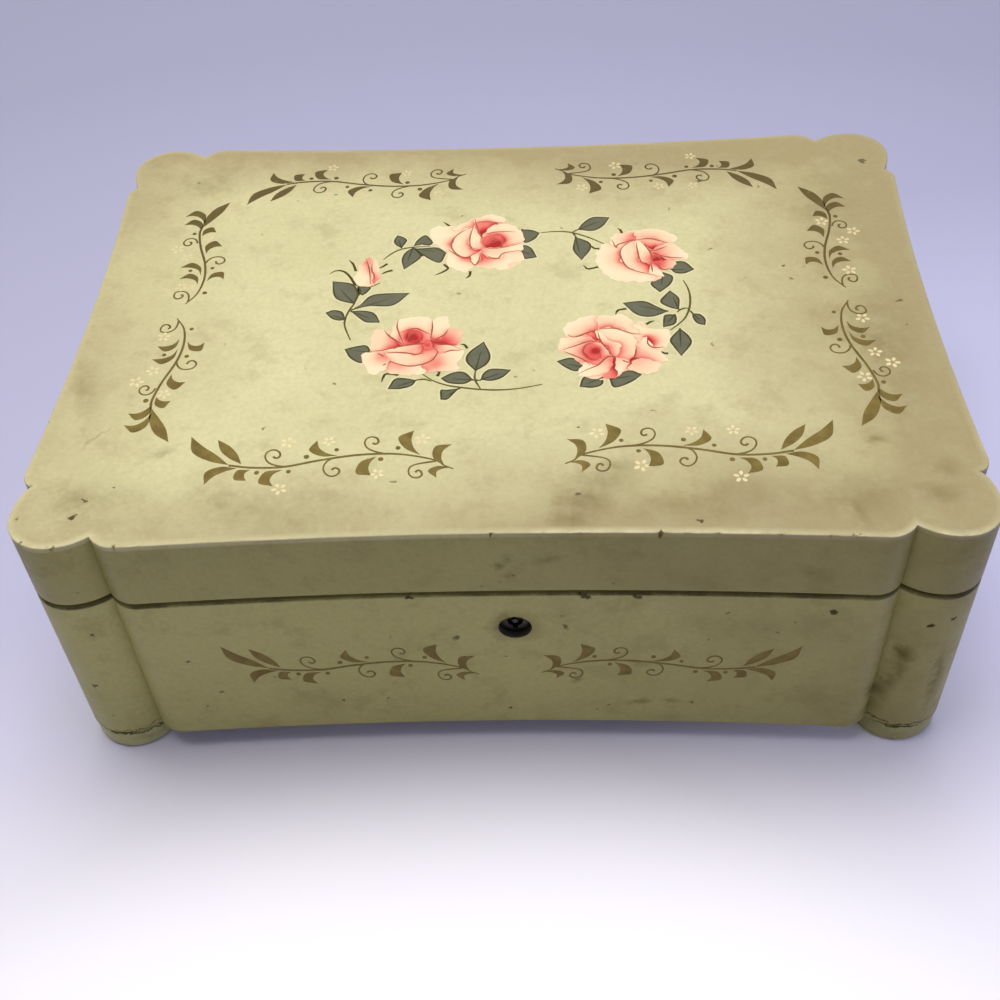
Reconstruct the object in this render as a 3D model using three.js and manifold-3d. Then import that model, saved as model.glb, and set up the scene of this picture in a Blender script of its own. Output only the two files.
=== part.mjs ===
// A musical jewelry box, about 280 x 203 x 101 mm: a lacquered wooden case with four hollowed walls
// between rounded corner posts, a hinged lid of the same outline, a lined inside with ring rolls, and a
// wind-up musical movement under a clear pane. Millimetres, +X right, +Y to the rear, +Z up. The box
// stands on Z = 0, and its origin is at the centre of its footprint, rear hinge knuckles included.
import * as THREE from 'three';
import { mergeGeometries, mergeVertices } from 'three/addons/utils/BufferGeometryUtils.js';
import Module from 'manifold-3d';

const wasm = await Module();
wasm.setup();

// Overall sizes
const boxWidth = 280;
const boxDepth = 202.8;
const footHeight = 8.5;
const caseWallHeight = 65.2;
const lidGap = 1.4;
const lidHeight = 25.6;

// Outline in plan: hollowed sides, and rounded posts set off by a notch on each side
const frontHollow = 3.4;
const sideHollow = 2.4;
const postRounding = 12.7;
const frontNotchInset = 25;
const frontNotchDepth = 4.4;
const sideNotchInset = 24.4;
const sideNotchDepth = 2.7;
const frontEase = 8;
const sideEase = 5;
const thinnestWall = 9;
const easedEdge = 0.7;

// Boards, feet and clearances
const lidBoardThickness = 7;
const baseThickness = 5;
const baseRecess = 1;
const footRadius = 14;
const footEdge = 1.6;
const footSeam = 0.3;
const fitGap = 0.3;
const cutOverrun = 2;

// Lining, partitions and ring rolls
const liningThickness = 1.6;
const liningLip = 5;
const partitionThickness = 2.4;
const partitionHeight = 44;
const rearBayDepth = 67.8;
const ringBayWidth = 86;
const ringRollCount = 6;
const ringRollHeight = 17;
const ringChannelHeight = 5;
const ringRollInset = 0.7;
const ringRollDrawIn = 1.6;
const ringRollRound = 3.5;
const ringRollSteps = 7;
const ringRollCorner = 4;
const traySeatHeight = 22;
const trayBoardThickness = 3;

// Lid lining and mirror
const satinThickness = 4.5;
const satinCrown = 1.6;
const satinRim = 3;
const mirrorWidth = 172;
const mirrorDepth = 104;
const mirrorThickness = 2;
const mirrorFrameWidth = 5;
const mirrorFrameThickness = 3.2;

// Hinges: brass butts whose leaves lie in the gap between case and lid
const hingeSpacing = 124;
const hingeLength = 30;
const knuckleRadius = 1.6;
const knuckleStandOff = 0.3;
const hingePinRadius = 0.75;
const hingePinPlay = 0.08;
const leafThickness = 0.5;
const leafDepth = 8;
const knuckleGap = 0.3;

// Lock, let into the inside of the front panel behind a round keyhole
const keyholeRadius = 4.9;
const keyholeDrop = 15.5;
const lockOffset = 3.5;
const lockWidth = 30;
const lockPocketDepth = 6.8;
const lockDepthBelowKeyhole = 9;
const lockPlate = 1;
const rotorRadius = 4;
const rotorLength = 4.2;
const rotorPlay = 0.15;
const keySocketRadius = 2.4;
const keySlotReach = 3.3;
const keySlotWidth = 1.4;
const keySlotDepth = 1.6;
const keyPinRadius = 0.9;
const boltLength = 9;
const boltHeight = 3;
const boltThickness = 1.4;
const boltThrow = 5;
const strikeTabThickness = 1.2;
const strikeTabWidth = 4;
const strikeTabDrop = 10.4;
const strikePlateLength = 24;
const strikePlateDepth = 7;
const strikePlateThickness = 0.8;
const strikeTabFoot = 1.3;
const boltPlay = 0.6;

// Pane over the movement
const paneThickness = 2;
const paneLedge = 6;
const paneLedgeThickness = 3;
const pinHolePlay = 0.5;

// Musical movement: bedplate, spring barrel, pinned cylinder, comb and air-brake governor
const movementLeftGap = 9.7;
const movementRightGap = 6.3;
const movementFrontGap = 3.7;
const bedLeft = 39;
const bedRight = 29;
const bedFront = 29;
const bedRear = 21;
const bedThickness = 2.4;
const bedCorner = 3;
const cylinderHeight = 14;
const cylinderRadius = 6.5;
const cylinderLength = 18;
const cylinderShaftRadius = 1;
const shaftPlay = 0.1;
const pinRadius = 0.22;
const pinHeight = 0.45;
const tuneTracks = 18;
const pinsPerTrack = 4;
const pinSpread = 23;
const gearModule = 0.6;
const crownTeeth = 40;
const pinionTeeth = 12;
const pinionWidth = 1.6;
const barrelWall = 1;
const barrelClearance = 1;
const crownToothWidth = 2;
const crownToothInset = 0.2;
const crownPlay = 0.12;
const bearingThickness = 1;
const bearingWidth = 9;
const bearingCap = 3;
const trainModule = 0.5;
const cylinderGearTeeth = 30;
const governorPinionTeeth = 10;
const gearWidth = 2;
const gearSpace = 0.6;
const wormWheelTeeth = 16;
const wormWheelWidth = 1.3;
const wormPitchRadius = 1.3;
const wormTurns = 4.5;
const wormAddendum = 0.4;
const wormCore = 0.75;
const governorShaftRadius = 0.6;
const governorDrop = 6;
const fanRadius = 3.2;
const fanHeight = 4;
const fanBlade = 0.5;
const combThickness = 1.3;
const combToothThickness = 0.6;
const combTipGap = 0.8;
const combTeethLong = 10;
const combTeethShort = 6.5;
const combSlotShare = 0.3;
const combBackDepth = 9;
const combMargin = 2.5;
const combScrewRadius = 1.6;
const combScrewHeight = 1;
const riserMargin = 1.5;
const arborRadius = 2;
const arborHeadRadius = 3.4;
const arborHeadHeight = 1.2;
const arborHoleRadius = 5;
const keyStemRadius = 3.2;
const keyWingSpan = 26;
const keyWingThickness = 2.6;
const keyWingHeight = 4;
const keyWingRound = 3.4;
const keyFloorGap = 1;
const keyFloor = 1.6;
const stopPinRadius = 1;
const stopPinBottom = 2;
const stopSleeveHeight = 9;
const sleeveWall = 1.1;
const stopArmThickness = 0.8;
const stopArmHeight = 1.6;
const stopArmGap = 0.4;
const stopPinLidGap = 0.3;

// Facets
const hollowSteps = 20;
const postSteps = 7;
const flankSteps = 4;
const easeSteps = 3;
const roundSteps = 24;
const slimSteps = 12;
const threadRows = 8;
const hexSides = 6;

// Levels, worked out from the sizes above
const halfWidth = boxWidth / 2;
const halfDepth = boxDepth / 2;
const cavityX = halfWidth - sideHollow - thinnestWall;
const cavityY = halfDepth - frontHollow - thinnestWall;
const caseBottom = footHeight;
const caseTop = caseBottom + caseWallHeight;
const lidBottom = caseTop + lidGap;
const lidTop = lidBottom + lidHeight;
const lidBoardBottom = lidTop - lidBoardThickness;
const baseBottom = caseBottom + baseRecess;
const baseTop = baseBottom + baseThickness;
const liningX = cavityX - fitGap;
const liningY = cavityY - fitGap;
const bayX = liningX - liningThickness;
const bayY = liningY - liningThickness;
const floorBottom = baseTop + fitGap;
const floorTop = floorBottom + liningThickness;
const liningTop = caseTop + liningLip;
const partitionTop = floorTop + partitionHeight;
const rearBayFront = bayY - rearBayDepth;
const frontBayBack = rearBayFront - partitionThickness;
const movementX = -bayX + movementLeftGap + bedLeft;
const movementY = rearBayFront + movementFrontGap + bedFront;
const movementBayRight = movementX + bedRight + movementRightGap;
const ringBayLeft = bayX - ringBayWidth;

// Solids: three.js geometries, joined and cut as manifold solids
function solidOf(geometry) {
  const bare = geometry.index ? geometry.toNonIndexed() : geometry.clone();
  for (const name of Object.keys(bare.attributes)) {
    if (name !== 'position') bare.deleteAttribute(name);
  }
  const merged = mergeVertices(bare, 1e-4);
  return new wasm.Manifold(new wasm.Mesh({
    numProp: 3,
    vertProperties: merged.attributes.position.array,
    triVerts: new Uint32Array(merged.index.array),
  }));
}

function geometryOf(solid) {
  const mesh = solid.getMesh();
  const geometry = new THREE.BufferGeometry();
  geometry.setAttribute('position', new THREE.BufferAttribute(mesh.vertProperties, 3));
  geometry.setIndex(new THREE.BufferAttribute(mesh.triVerts, 1));
  const faceted = geometry.toNonIndexed();
  faceted.computeVertexNormals();
  return faceted;
}

function join(...geometries) {
  return geometryOf(geometries.map(solidOf).reduce((sum, next) => sum.add(next)));
}

function cut(geometry, ...tools) {
  return geometryOf(tools.map(solidOf).reduce((rest, tool) => rest.subtract(tool), solidOf(geometry)));
}

// A box between two corners
function block(x0, x1, y0, y1, z0, z1) {
  const geometry = new THREE.BoxGeometry(x1 - x0, y1 - y0, z1 - z0);
  return geometry.translate((x0 + x1) / 2, (y0 + y1) / 2, (z0 + z1) / 2);
}

// A round bar along Z, X or Y
function bar(radius, from, to, x = 0, y = 0, steps = roundSteps) {
  const geometry = new THREE.CylinderGeometry(radius, radius, to - from, steps);
  return geometry.rotateX(Math.PI / 2).translate(x, y, (from + to) / 2);
}

function barX(radius, from, to, y = 0, z = 0, steps = roundSteps) {
  const geometry = new THREE.CylinderGeometry(radius, radius, to - from, steps);
  return geometry.rotateZ(Math.PI / 2).translate((from + to) / 2, y, z);
}

function barY(radius, from, to, x = 0, z = 0, steps = roundSteps) {
  const geometry = new THREE.CylinderGeometry(radius, radius, to - from, steps);
  return geometry.translate(x, (from + to) / 2, z);
}

// An outline raised from z0 to z1, with its top and bottom edges eased
function prism(points, z0, z1, ease = 0, holes = []) {
  const shape = new THREE.Shape(points);
  shape.holes = holes.map((hole) => new THREE.Path(hole));
  const geometry = new THREE.ExtrudeGeometry(shape, {
    depth: z1 - z0 - 2 * ease,
    bevelEnabled: ease > 0,
    bevelThickness: ease,
    bevelSize: ease,
    bevelOffset: -ease,
    bevelSegments: 1,
    curveSegments: roundSteps,
  });
  return geometry.translate(0, 0, z0 + ease);
}

function circle(radius, steps = roundSteps, x = 0, y = 0) {
  return Array.from({ length: steps }, (_, i) => {
    const angle = (i / steps) * Math.PI * 2;
    return new THREE.Vector2(x + radius * Math.cos(angle), y + radius * Math.sin(angle));
  });
}

const material = {
  lacquer: new THREE.MeshStandardMaterial({ color: '#cfc793', roughness: 0.42, metalness: 0 }),
  ply: new THREE.MeshStandardMaterial({ color: '#a98556', roughness: 0.75, metalness: 0 }),
  velvet: new THREE.MeshStandardMaterial({ color: '#7c2436', roughness: 0.95, metalness: 0 }),
  satin: new THREE.MeshStandardMaterial({ color: '#e7c9bd', roughness: 0.5, metalness: 0 }),
  mirror: new THREE.MeshStandardMaterial({ color: '#e8edf0', roughness: 0.05, metalness: 1 }),
  brass: new THREE.MeshStandardMaterial({ color: '#c7a34e', roughness: 0.32, metalness: 1 }),
  darkSteel: new THREE.MeshStandardMaterial({ color: '#3b3a42', roughness: 0.45, metalness: 1 }),
  steel: new THREE.MeshStandardMaterial({ color: '#b9bcc2', roughness: 0.3, metalness: 1 }),
  casting: new THREE.MeshStandardMaterial({ color: '#a2a4a3', roughness: 0.5, metalness: 1 }),
  fanPlastic: new THREE.MeshStandardMaterial({ color: '#efe8d2', roughness: 0.5, metalness: 0 }),
  pane: new THREE.MeshStandardMaterial({ color: '#dfe9ea', roughness: 0.1, metalness: 0 }),
};

const box = new THREE.Group();

function place(name, geometry, finish, group = box) {
  const mesh = new THREE.Mesh(geometry, finish);
  mesh.name = name;
  group.add(mesh);
  return mesh;
}

// Outline of the case and the lid, drawn in the rear right quarter and mirrored to the others
const frontNotch = new THREE.Vector2(halfWidth - frontNotchInset, halfDepth - frontNotchDepth);
const sideNotch = new THREE.Vector2(halfWidth - sideNotchDepth, halfDepth - sideNotchInset);

// An arc from a notch to a crest, level with the wall at the crest
function arch(notch, crest, alongX, steps) {
  const run = alongX ? crest.x - notch.x : crest.y - notch.y;
  const rise = alongX ? crest.y - notch.y : crest.x - notch.x;
  const radius = (run * run + rise * rise) / (2 * rise);
  const sweep = Math.asin(Math.abs(run) / radius);
  return Array.from({ length: steps }, (_, i) => {
    const angle = sweep * (1 - i / steps);
    const out = radius * (1 - Math.cos(angle));
    const side = Math.sign(run) * radius * Math.sin(angle);
    return alongX
      ? new THREE.Vector2(crest.x - side, crest.y - out)
      : new THREE.Vector2(crest.x - out, crest.y - side);
  });
}

// The hollow from one end of a wall to the other, as a shallow arc
function hollow(half, level, depth, steps) {
  const radius = (half * half + depth * depth) / (2 * depth);
  return Array.from({ length: steps + 1 }, (_, i) => {
    const along = half * (1 - (2 * i) / steps);
    const sink = depth - (radius - Math.sqrt(radius * radius - along * along));
    return new THREE.Vector2(along, level - sink);
  });
}

// A post's outside, from its notch on the front or rear to its notch on the side
const frontCrest = new THREE.Vector2(halfWidth - postRounding, halfDepth);
const sideCrest = new THREE.Vector2(halfWidth, halfDepth - postRounding);
const postArc = [
  ...arch(frontNotch, frontCrest, true, flankSteps),
  ...Array.from({ length: postSteps + 1 }, (_, i) => {
    const angle = (Math.PI / 2) * (1 - i / postSteps);
    return new THREE.Vector2(
      frontCrest.x + postRounding * Math.cos(angle),
      sideCrest.y + postRounding * Math.sin(angle),
    );
  }),
  ...arch(sideNotch, sideCrest, false, flankSteps).reverse(),
];

const wallFrontEnd = new THREE.Vector2(frontNotch.x - frontEase, halfDepth);
const wallSideEnd = new THREE.Vector2(halfWidth, sideNotch.y - sideEase);
const frontEaseArc = arch(frontNotch, wallFrontEnd, true, easeSteps);
const sideEaseArc = arch(sideNotch, wallSideEnd, false, easeSteps);
const rearWallArc = [
  ...frontEaseArc,
  ...hollow(wallFrontEnd.x, halfDepth, frontHollow, hollowSteps),
  ...[...frontEaseArc].reverse().map((p) => new THREE.Vector2(-p.x, p.y)),
];
const rightWallArc = [
  ...sideEaseArc,
  ...hollow(wallSideEnd.y, halfWidth, sideHollow, hollowSteps).map((p) => new THREE.Vector2(p.y, p.x)),
  ...[...sideEaseArc].reverse().map((p) => new THREE.Vector2(p.x, -p.y)),
];

const turned = (points, sx, sy) => points.map((p) => new THREE.Vector2(p.x * sx, p.y * sy));

// The whole outline, counter-clockwise from the rear wall's right-hand notch
const fullOutline = [
  ...rearWallArc,
  ...turned(postArc, -1, 1).slice(1, -1),
  ...turned(rightWallArc, -1, 1),
  ...turned(postArc, -1, -1).reverse().slice(1, -1),
  ...turned(rearWallArc, 1, -1).reverse(),
  ...turned(postArc, 1, -1).slice(1, -1),
  ...turned(rightWallArc, 1, 1).reverse(),
  ...[...postArc].reverse().slice(1, -1),
];

// Depth of the rear wall's face at a place along it
function rearFaceAt(x) {
  const radius = (wallFrontEnd.x ** 2 + frontHollow ** 2) / (2 * frontHollow);
  return halfDepth - frontHollow + radius - Math.sqrt(radius * radius - x * x);
}

// Walls and posts, the same in the case and in the lid's rim
const rearWallOutline = [
  ...rearWallArc,
  new THREE.Vector2(-frontNotch.x, cavityY),
  new THREE.Vector2(frontNotch.x, cavityY),
];
const rightWallOutline = [
  ...rightWallArc,
  new THREE.Vector2(cavityX, -sideNotch.y),
  new THREE.Vector2(cavityX, sideNotch.y),
];
const postOutline = [
  ...postArc,
  new THREE.Vector2(cavityX, sideNotch.y),
  new THREE.Vector2(cavityX, cavityY),
  new THREE.Vector2(frontNotch.x, cavityY),
];

// A long rail of the lid: the rear wall with both its posts in one piece
const longRailOutline = [
  ...rearWallArc,
  ...turned(postArc, -1, 1).slice(1),
  new THREE.Vector2(-cavityX, sideNotch.y),
  new THREE.Vector2(-cavityX, cavityY),
  new THREE.Vector2(cavityX, cavityY),
  new THREE.Vector2(cavityX, sideNotch.y),
  ...[...postArc].reverse().slice(0, -1),
];

const corners = [
  ['front_left', -1, -1],
  ['front_right', 1, -1],
  ['rear_left', -1, 1],
  ['rear_right', 1, 1],
];

// Lock pocket and keyhole in the front panel
const keyholeZ = caseTop - keyholeDrop;
const lockBottom = keyholeZ - lockDepthBelowKeyhole;
const pocketFace = -(cavityY + lockPocketDepth);
const pocketLeft = lockOffset - lockWidth / 2;
const pocketRight = lockOffset + lockWidth / 2;
const lockPocket = block(
  pocketLeft, pocketRight, pocketFace, -cavityY + cutOverrun, lockBottom, caseTop + cutOverrun,
);
const keyhole = barY(keyholeRadius, -halfDepth - cutOverrun, pocketFace + cutOverrun, lockOffset, keyholeZ);

place(
  'front_panel',
  cut(prism(turned(rearWallOutline, 1, -1), caseBottom, caseTop, easedEdge), lockPocket, keyhole),
  material.lacquer,
);
place('rear_panel', prism(rearWallOutline, caseBottom, caseTop, easedEdge), material.lacquer);
place('right_panel', prism(rightWallOutline, caseBottom, caseTop, easedEdge), material.lacquer);
place('left_panel', prism(turned(rightWallOutline, -1, 1), caseBottom, caseTop, easedEdge), material.lacquer);

for (const [corner, sx, sy] of corners) {
  const outline = turned(postOutline, sx, sy);
  place(`corner_post_${corner}`, prism(outline, caseBottom, caseTop, easedEdge), material.lacquer);
}

// Feet: turned discs under the posts
const footX = halfWidth - footRadius;
const footY = halfDepth - footRadius;
const footProfile = [
  new THREE.Vector2(0, 0),
  ...Array.from({ length: easeSteps + 1 }, (_, i) => {
    const angle = (Math.PI / 2) * (i / easeSteps);
    return new THREE.Vector2(
      footRadius - footEdge * (1 - Math.sin(angle)), footEdge * (1 - Math.cos(angle)),
    );
  }),
  new THREE.Vector2(footRadius, footHeight - footSeam),
  new THREE.Vector2(0, footHeight - footSeam),
];
for (const [corner, sx, sy] of corners) {
  const foot = new THREE.LatheGeometry(footProfile, 2 * roundSteps).rotateX(Math.PI / 2);
  place(`foot_${corner}`, foot.translate(footX * sx, footY * sy, 0), material.lacquer);
}

// Base board, with the hole that the winding arbor passes through
const crownRadius = (gearModule * crownTeeth) / 2;
const pinionRadius = (gearModule * pinionTeeth) / 2;
const drumEnd = cylinderLength / 2;
const leftBearingRight = -drumEnd - gearSpace;
const leftBearingLeft = leftBearingRight - bearingThickness;
const pinionRight = leftBearingLeft - gearSpace;
const pinionLeft = pinionRight - pinionWidth;
const barrelX = (pinionLeft + pinionRight) / 2 - crownRadius;
const arborX = movementX + barrelX;
place(
  'base_board',
  cut(
    block(-cavityX + fitGap, cavityX - fitGap, -cavityY + fitGap, cavityY - fitGap, baseBottom, baseTop),
    bar(arborHoleRadius, baseBottom - cutOverrun, baseTop + cutOverrun, arborX, movementY),
  ),
  material.ply,
);

// Lid: a top board on a rim of four rails, the long ones carried round the corners
const boardBlank = prism(fullOutline, lidBoardBottom - cutOverrun, lidTop, easedEdge);
place(
  'lid_top_board',
  cut(boardBlank, block(
    -boxWidth, boxWidth, -boxDepth, boxDepth, lidBoardBottom - 2 * cutOverrun, lidBoardBottom,
  )),
  material.lacquer,
);
const railTop = lidBoardBottom;
place('lid_front_rail', prism(turned(longRailOutline, 1, -1), lidBottom, railTop), material.lacquer);
place('lid_rear_rail', prism(longRailOutline, lidBottom, railTop), material.lacquer);
place('lid_right_rail', prism(rightWallOutline, lidBottom, railTop), material.lacquer);
place('lid_left_rail', prism(turned(rightWallOutline, -1, 1), lidBottom, railTop), material.lacquer);

// Lining: velvet over card in one tray, standing above the case's edge as a lip inside the lid
const strikeNotch = block(
  pocketLeft, pocketRight, -liningY - cutOverrun, -bayY + cutOverrun, caseTop, liningTop + cutOverrun,
);
const movementFloor = block(
  -bayX, movementBayRight, rearBayFront, bayY, floorBottom - cutOverrun, floorTop + cutOverrun,
);
place(
  'case_lining',
  cut(
    block(-liningX, liningX, -liningY, liningY, floorBottom, liningTop),
    block(-bayX, bayX, -bayY, bayY, floorTop, liningTop + cutOverrun),
    strikeNotch,
    movementFloor,
  ),
  material.velvet,
);

// Partitions: one along the box, two across its rear half
place(
  'partition_long',
  block(-bayX, bayX, frontBayBack, rearBayFront, floorTop, partitionTop),
  material.velvet,
);
place(
  'partition_movement',
  block(
    movementBayRight, movementBayRight + partitionThickness, rearBayFront, bayY, floorTop, partitionTop,
  ),
  material.velvet,
);
place(
  'partition_rings',
  block(ringBayLeft - partitionThickness, ringBayLeft, rearBayFront, bayY, floorTop, partitionTop),
  material.velvet,
);

// Ring rolls: one channelled pad on a small table; rings are held in the channels between the rolls
const trayTop = floorTop + traySeatHeight;
const trayBottom = trayTop - trayBoardThickness;
const trayLeft = ringBayLeft + fitGap;
const trayRight = bayX - fitGap;
const trayFront = rearBayFront + fitGap;
const trayRear = bayY - fitGap;
place(
  'ring_roll_table',
  cut(
    block(trayLeft, trayRight, trayFront, trayRear, floorTop, trayTop),
    block(
      trayLeft + partitionThickness, trayRight - partitionThickness, trayFront - cutOverrun,
      trayRear + cutOverrun, floorTop - cutOverrun, trayBottom,
    ),
  ),
  material.velvet,
);

// A closed skin over rings of as many points each, with flat ends
function loft(rings) {
  const count = rings[0].length;
  const positions = rings.flat().flatMap((p) => [p.x, p.y, p.z]);
  const faces = [];
  for (let i = 0; i + 1 < rings.length; i += 1) {
    for (let k = 0; k < count; k += 1) {
      const a = i * count + k;
      const b = i * count + ((k + 1) % count);
      faces.push(a, b, b + count, a, b + count, a + count);
    }
  }
  const last = (rings.length - 1) * count;
  for (let k = 1; k + 1 < count; k += 1) {
    faces.push(0, k + 1, k, last, last + k, last + k + 1);
  }
  const geometry = new THREE.BufferGeometry();
  geometry.setAttribute('position', new THREE.Float32BufferAttribute(positions, 3));
  geometry.setIndex(faces);
  return geometryOf(solidOf(geometry));
}

// Along X the pad rises and falls roll by roll; each section is a cushion seen from its end
function ringPad() {
  const pitch = (trayRight - trayLeft) / ringRollCount;
  const middleY = (trayFront + trayRear) / 2;
  const halfDeep = (trayRear - trayFront) / 2 - ringRollInset;
  const rings = [];
  for (let i = 0; i <= ringRollCount * ringRollSteps; i += 1) {
    const swell = Math.sqrt(Math.sin((Math.PI * (i % ringRollSteps)) / ringRollSteps));
    const ends = i === 0 || i === ringRollCount * ringRollSteps;
    const height = ringChannelHeight + (ringRollHeight - ringChannelHeight) * (ends ? 0 : swell);
    const reach = halfDeep - ringRollDrawIn * (1 - (ends ? 0 : swell));
    const section = Array.from({ length: ringRollCorner + 1 }, (_, k) => {
      const angle = (k / ringRollCorner) * (Math.PI / 2);
      return [reach - ringRollRound * (1 - Math.cos(angle)), height - ringRollRound * (1 - Math.sin(angle))];
    });
    const half = [[reach, 0], ...section];
    const x = trayLeft + (i / ringRollSteps) * pitch;
    const outline = [...half, ...[...half].reverse().map(([y, z]) => [-y, z])];
    rings.push(outline.map(([y, z]) => new THREE.Vector3(x, middleY + y, trayTop + z)));
  }
  return loft(rings);
}
place('ring_roll_pad', ringPad(), material.velvet);

// Lid lining: a satin pad round a framed mirror
const padTop = lidBoardBottom - fitGap;
const padBottom = padTop - satinThickness;
const frameHalfX = mirrorWidth / 2 + mirrorFrameWidth;
const frameHalfY = mirrorDepth / 2 + mirrorFrameWidth;
const windowPoints = (x, y) => [
  new THREE.Vector2(-x, -y), new THREE.Vector2(-x, y), new THREE.Vector2(x, y), new THREE.Vector2(x, -y),
];
const padPoints = [...windowPoints(liningX, liningY)].reverse();
place(
  'lid_satin_pad',
  cut(
    prism(padPoints, padBottom - satinCrown, padTop + satinRim, satinRim),
    block(-boxWidth, boxWidth, -boxDepth, boxDepth, padTop, padTop + satinRim + cutOverrun),
    block(
      -frameHalfX - fitGap, frameHalfX + fitGap, -frameHalfY - fitGap, frameHalfY + fitGap,
      padBottom - satinCrown - cutOverrun, padTop + cutOverrun,
    ),
  ),
  material.satin,
);
const mirrorTop = padTop;
const mirrorBottom = mirrorTop - mirrorThickness;
const frameBottom = padBottom - mirrorFrameThickness + satinThickness / 2;
place(
  'mirror',
  block(-mirrorWidth / 2, mirrorWidth / 2, -mirrorDepth / 2, mirrorDepth / 2, mirrorBottom, mirrorTop),
  material.mirror,
);
place(
  'mirror_frame',
  cut(
    prism([...windowPoints(frameHalfX, frameHalfY)].reverse(), frameBottom, padTop, easedEdge),
    block(
      -mirrorWidth / 2 - fitGap, mirrorWidth / 2 + fitGap, -mirrorDepth / 2 - fitGap,
      mirrorDepth / 2 + fitGap, mirrorBottom - fitGap, padTop + cutOverrun,
    ),
    block(
      -mirrorWidth / 2 + mirrorFrameWidth / 2, mirrorWidth / 2 - mirrorFrameWidth / 2,
      -mirrorDepth / 2 + mirrorFrameWidth / 2, mirrorDepth / 2 - mirrorFrameWidth / 2,
      frameBottom - cutOverrun, padTop + cutOverrun,
    ),
  ),
  material.brass,
);

// Hinges: the leaves lie flat in the gap, and the knuckles stand just behind the hollowed rear wall
const hingeX = hingeSpacing / 2;
const hingeOuterX = hingeX + hingeLength / 2;
const hingeAxisY = rearFaceAt(hingeOuterX) + knuckleStandOff + knuckleRadius;
const hingeAxisZ = caseTop + lidGap / 2;
const knuckleLength = hingeLength / 3;
const leafFront = rearFaceAt(hingeX) - leafDepth;
const leafSeat = (lidGap / 2 - leafThickness) / 2;

// A leaf whose plate lies at the given level; its knuckles are listed by their third of the hinge
function hingeLeaf(x, plateBottom, thirds) {
  const left = x - hingeLength / 2;
  const plateTop = plateBottom + leafThickness;
  const clearY = hingeAxisY - knuckleRadius - knuckleGap;
  const pieces = [block(left, left + hingeLength, leafFront, clearY, plateBottom, plateTop)];
  for (const third of thirds) {
    const from = left + third * knuckleLength + knuckleGap / 2;
    const to = from + knuckleLength - knuckleGap;
    pieces.push(barX(knuckleRadius, from, to, hingeAxisY, hingeAxisZ));
    pieces.push(block(from, to, clearY - cutOverrun, hingeAxisY, plateBottom, plateTop));
  }
  const bore = barX(
    hingePinRadius + hingePinPlay, left - cutOverrun, left + hingeLength + cutOverrun,
    hingeAxisY, hingeAxisZ,
  );
  return cut(join(...pieces), bore);
}

for (const [side, sx] of [['left', -1], ['right', 1]]) {
  const x = hingeX * sx;
  place(`hinge_${side}_case_leaf`, hingeLeaf(x, caseTop + leafSeat, [0, 2]), material.brass);
  place(
    `hinge_${side}_lid_leaf`,
    hingeLeaf(x, lidBottom - leafSeat - leafThickness, [1]),
    material.brass,
  );
  place(
    `hinge_${side}_pin`,
    barX(hingePinRadius, x - hingeLength / 2, x + hingeLength / 2, hingeAxisY, hingeAxisZ),
    material.brass,
  );
}

// Lock: a brass case in the pocket, a rotor behind the keyhole, a bolt, and a strike on the lid
const lockLeft = pocketLeft + fitGap;
const lockRight = pocketRight - fitGap;
const lockFace = pocketFace + fitGap;
const lockBack = -cavityY - fitGap;
const lockTop = caseTop - fitGap;
const lockFloor = lockBottom + fitGap;
const tabY = (lockFace + lockPlate + lockBack) / 2;
const tabBottom = lidBottom - strikePlateThickness - strikeTabDrop;
const windowBottom = tabBottom + strikeTabFoot;
const windowHeight = boltHeight + 2 * boltPlay;
const boltBottom = windowBottom + boltPlay;
place(
  'lock_case',
  cut(
    block(lockLeft, lockRight, lockFace, lockBack, lockFloor, lockTop),
    block(
      lockLeft + lockPlate, lockRight - lockPlate, lockFace + lockPlate, lockBack + cutOverrun,
      lockFloor + lockPlate, lockTop - lockPlate,
    ),
    barY(rotorRadius + rotorPlay, lockFace - cutOverrun, lockBack, lockOffset, keyholeZ),
    block(
      lockOffset - 3 * strikeTabThickness, lockOffset + 3 * strikeTabThickness,
      tabY - strikeTabWidth / 2 - boltPlay, lockBack + cutOverrun, boltBottom, lockTop + cutOverrun,
    ),
  ),
  material.darkSteel,
);
const rotorBack = lockFace + rotorLength;
const socketBack = lockFace + keySlotDepth;
place(
  'lock_rotor',
  join(
    cut(
      barY(rotorRadius, lockFace, rotorBack, lockOffset, keyholeZ),
      barY(keySocketRadius, lockFace - cutOverrun, socketBack, lockOffset, keyholeZ),
      block(
        lockOffset - keySlotWidth / 2, lockOffset + keySlotWidth / 2, lockFace - cutOverrun, socketBack,
        keyholeZ - keySlotReach, keyholeZ,
      ),
    ),
    barY(keyPinRadius, lockFace, rotorBack, lockOffset, keyholeZ, slimSteps),
  ),
  material.darkSteel,
);
const boltRight = lockOffset - strikeTabThickness / 2 - boltPlay;
place(
  'lock_bolt',
  block(
    boltRight - boltLength, boltRight, tabY - boltThickness / 2, tabY + boltThickness / 2,
    boltBottom, boltBottom + boltHeight,
  ),
  material.steel,
);
const strikeMiddle = tabY;
place(
  'lock_strike',
  cut(
    join(
      block(
        lockOffset - strikePlateLength / 2, lockOffset + strikePlateLength / 2,
        strikeMiddle - strikePlateDepth / 2, -cavityY - fitGap,
        lidBottom - strikePlateThickness, lidBottom,
      ),
      block(
        lockOffset - strikeTabThickness / 2, lockOffset + strikeTabThickness / 2,
        tabY - strikeTabWidth / 2, tabY + strikeTabWidth / 2, tabBottom, lidBottom,
      ),
    ),
    block(
      lockOffset - strikeTabThickness, lockOffset + strikeTabThickness,
      tabY - boltThickness / 2 - boltPlay, tabY + boltThickness / 2 + boltPlay,
      windowBottom, windowBottom + windowHeight,
    ),
  ),
  material.brass,
);

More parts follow.
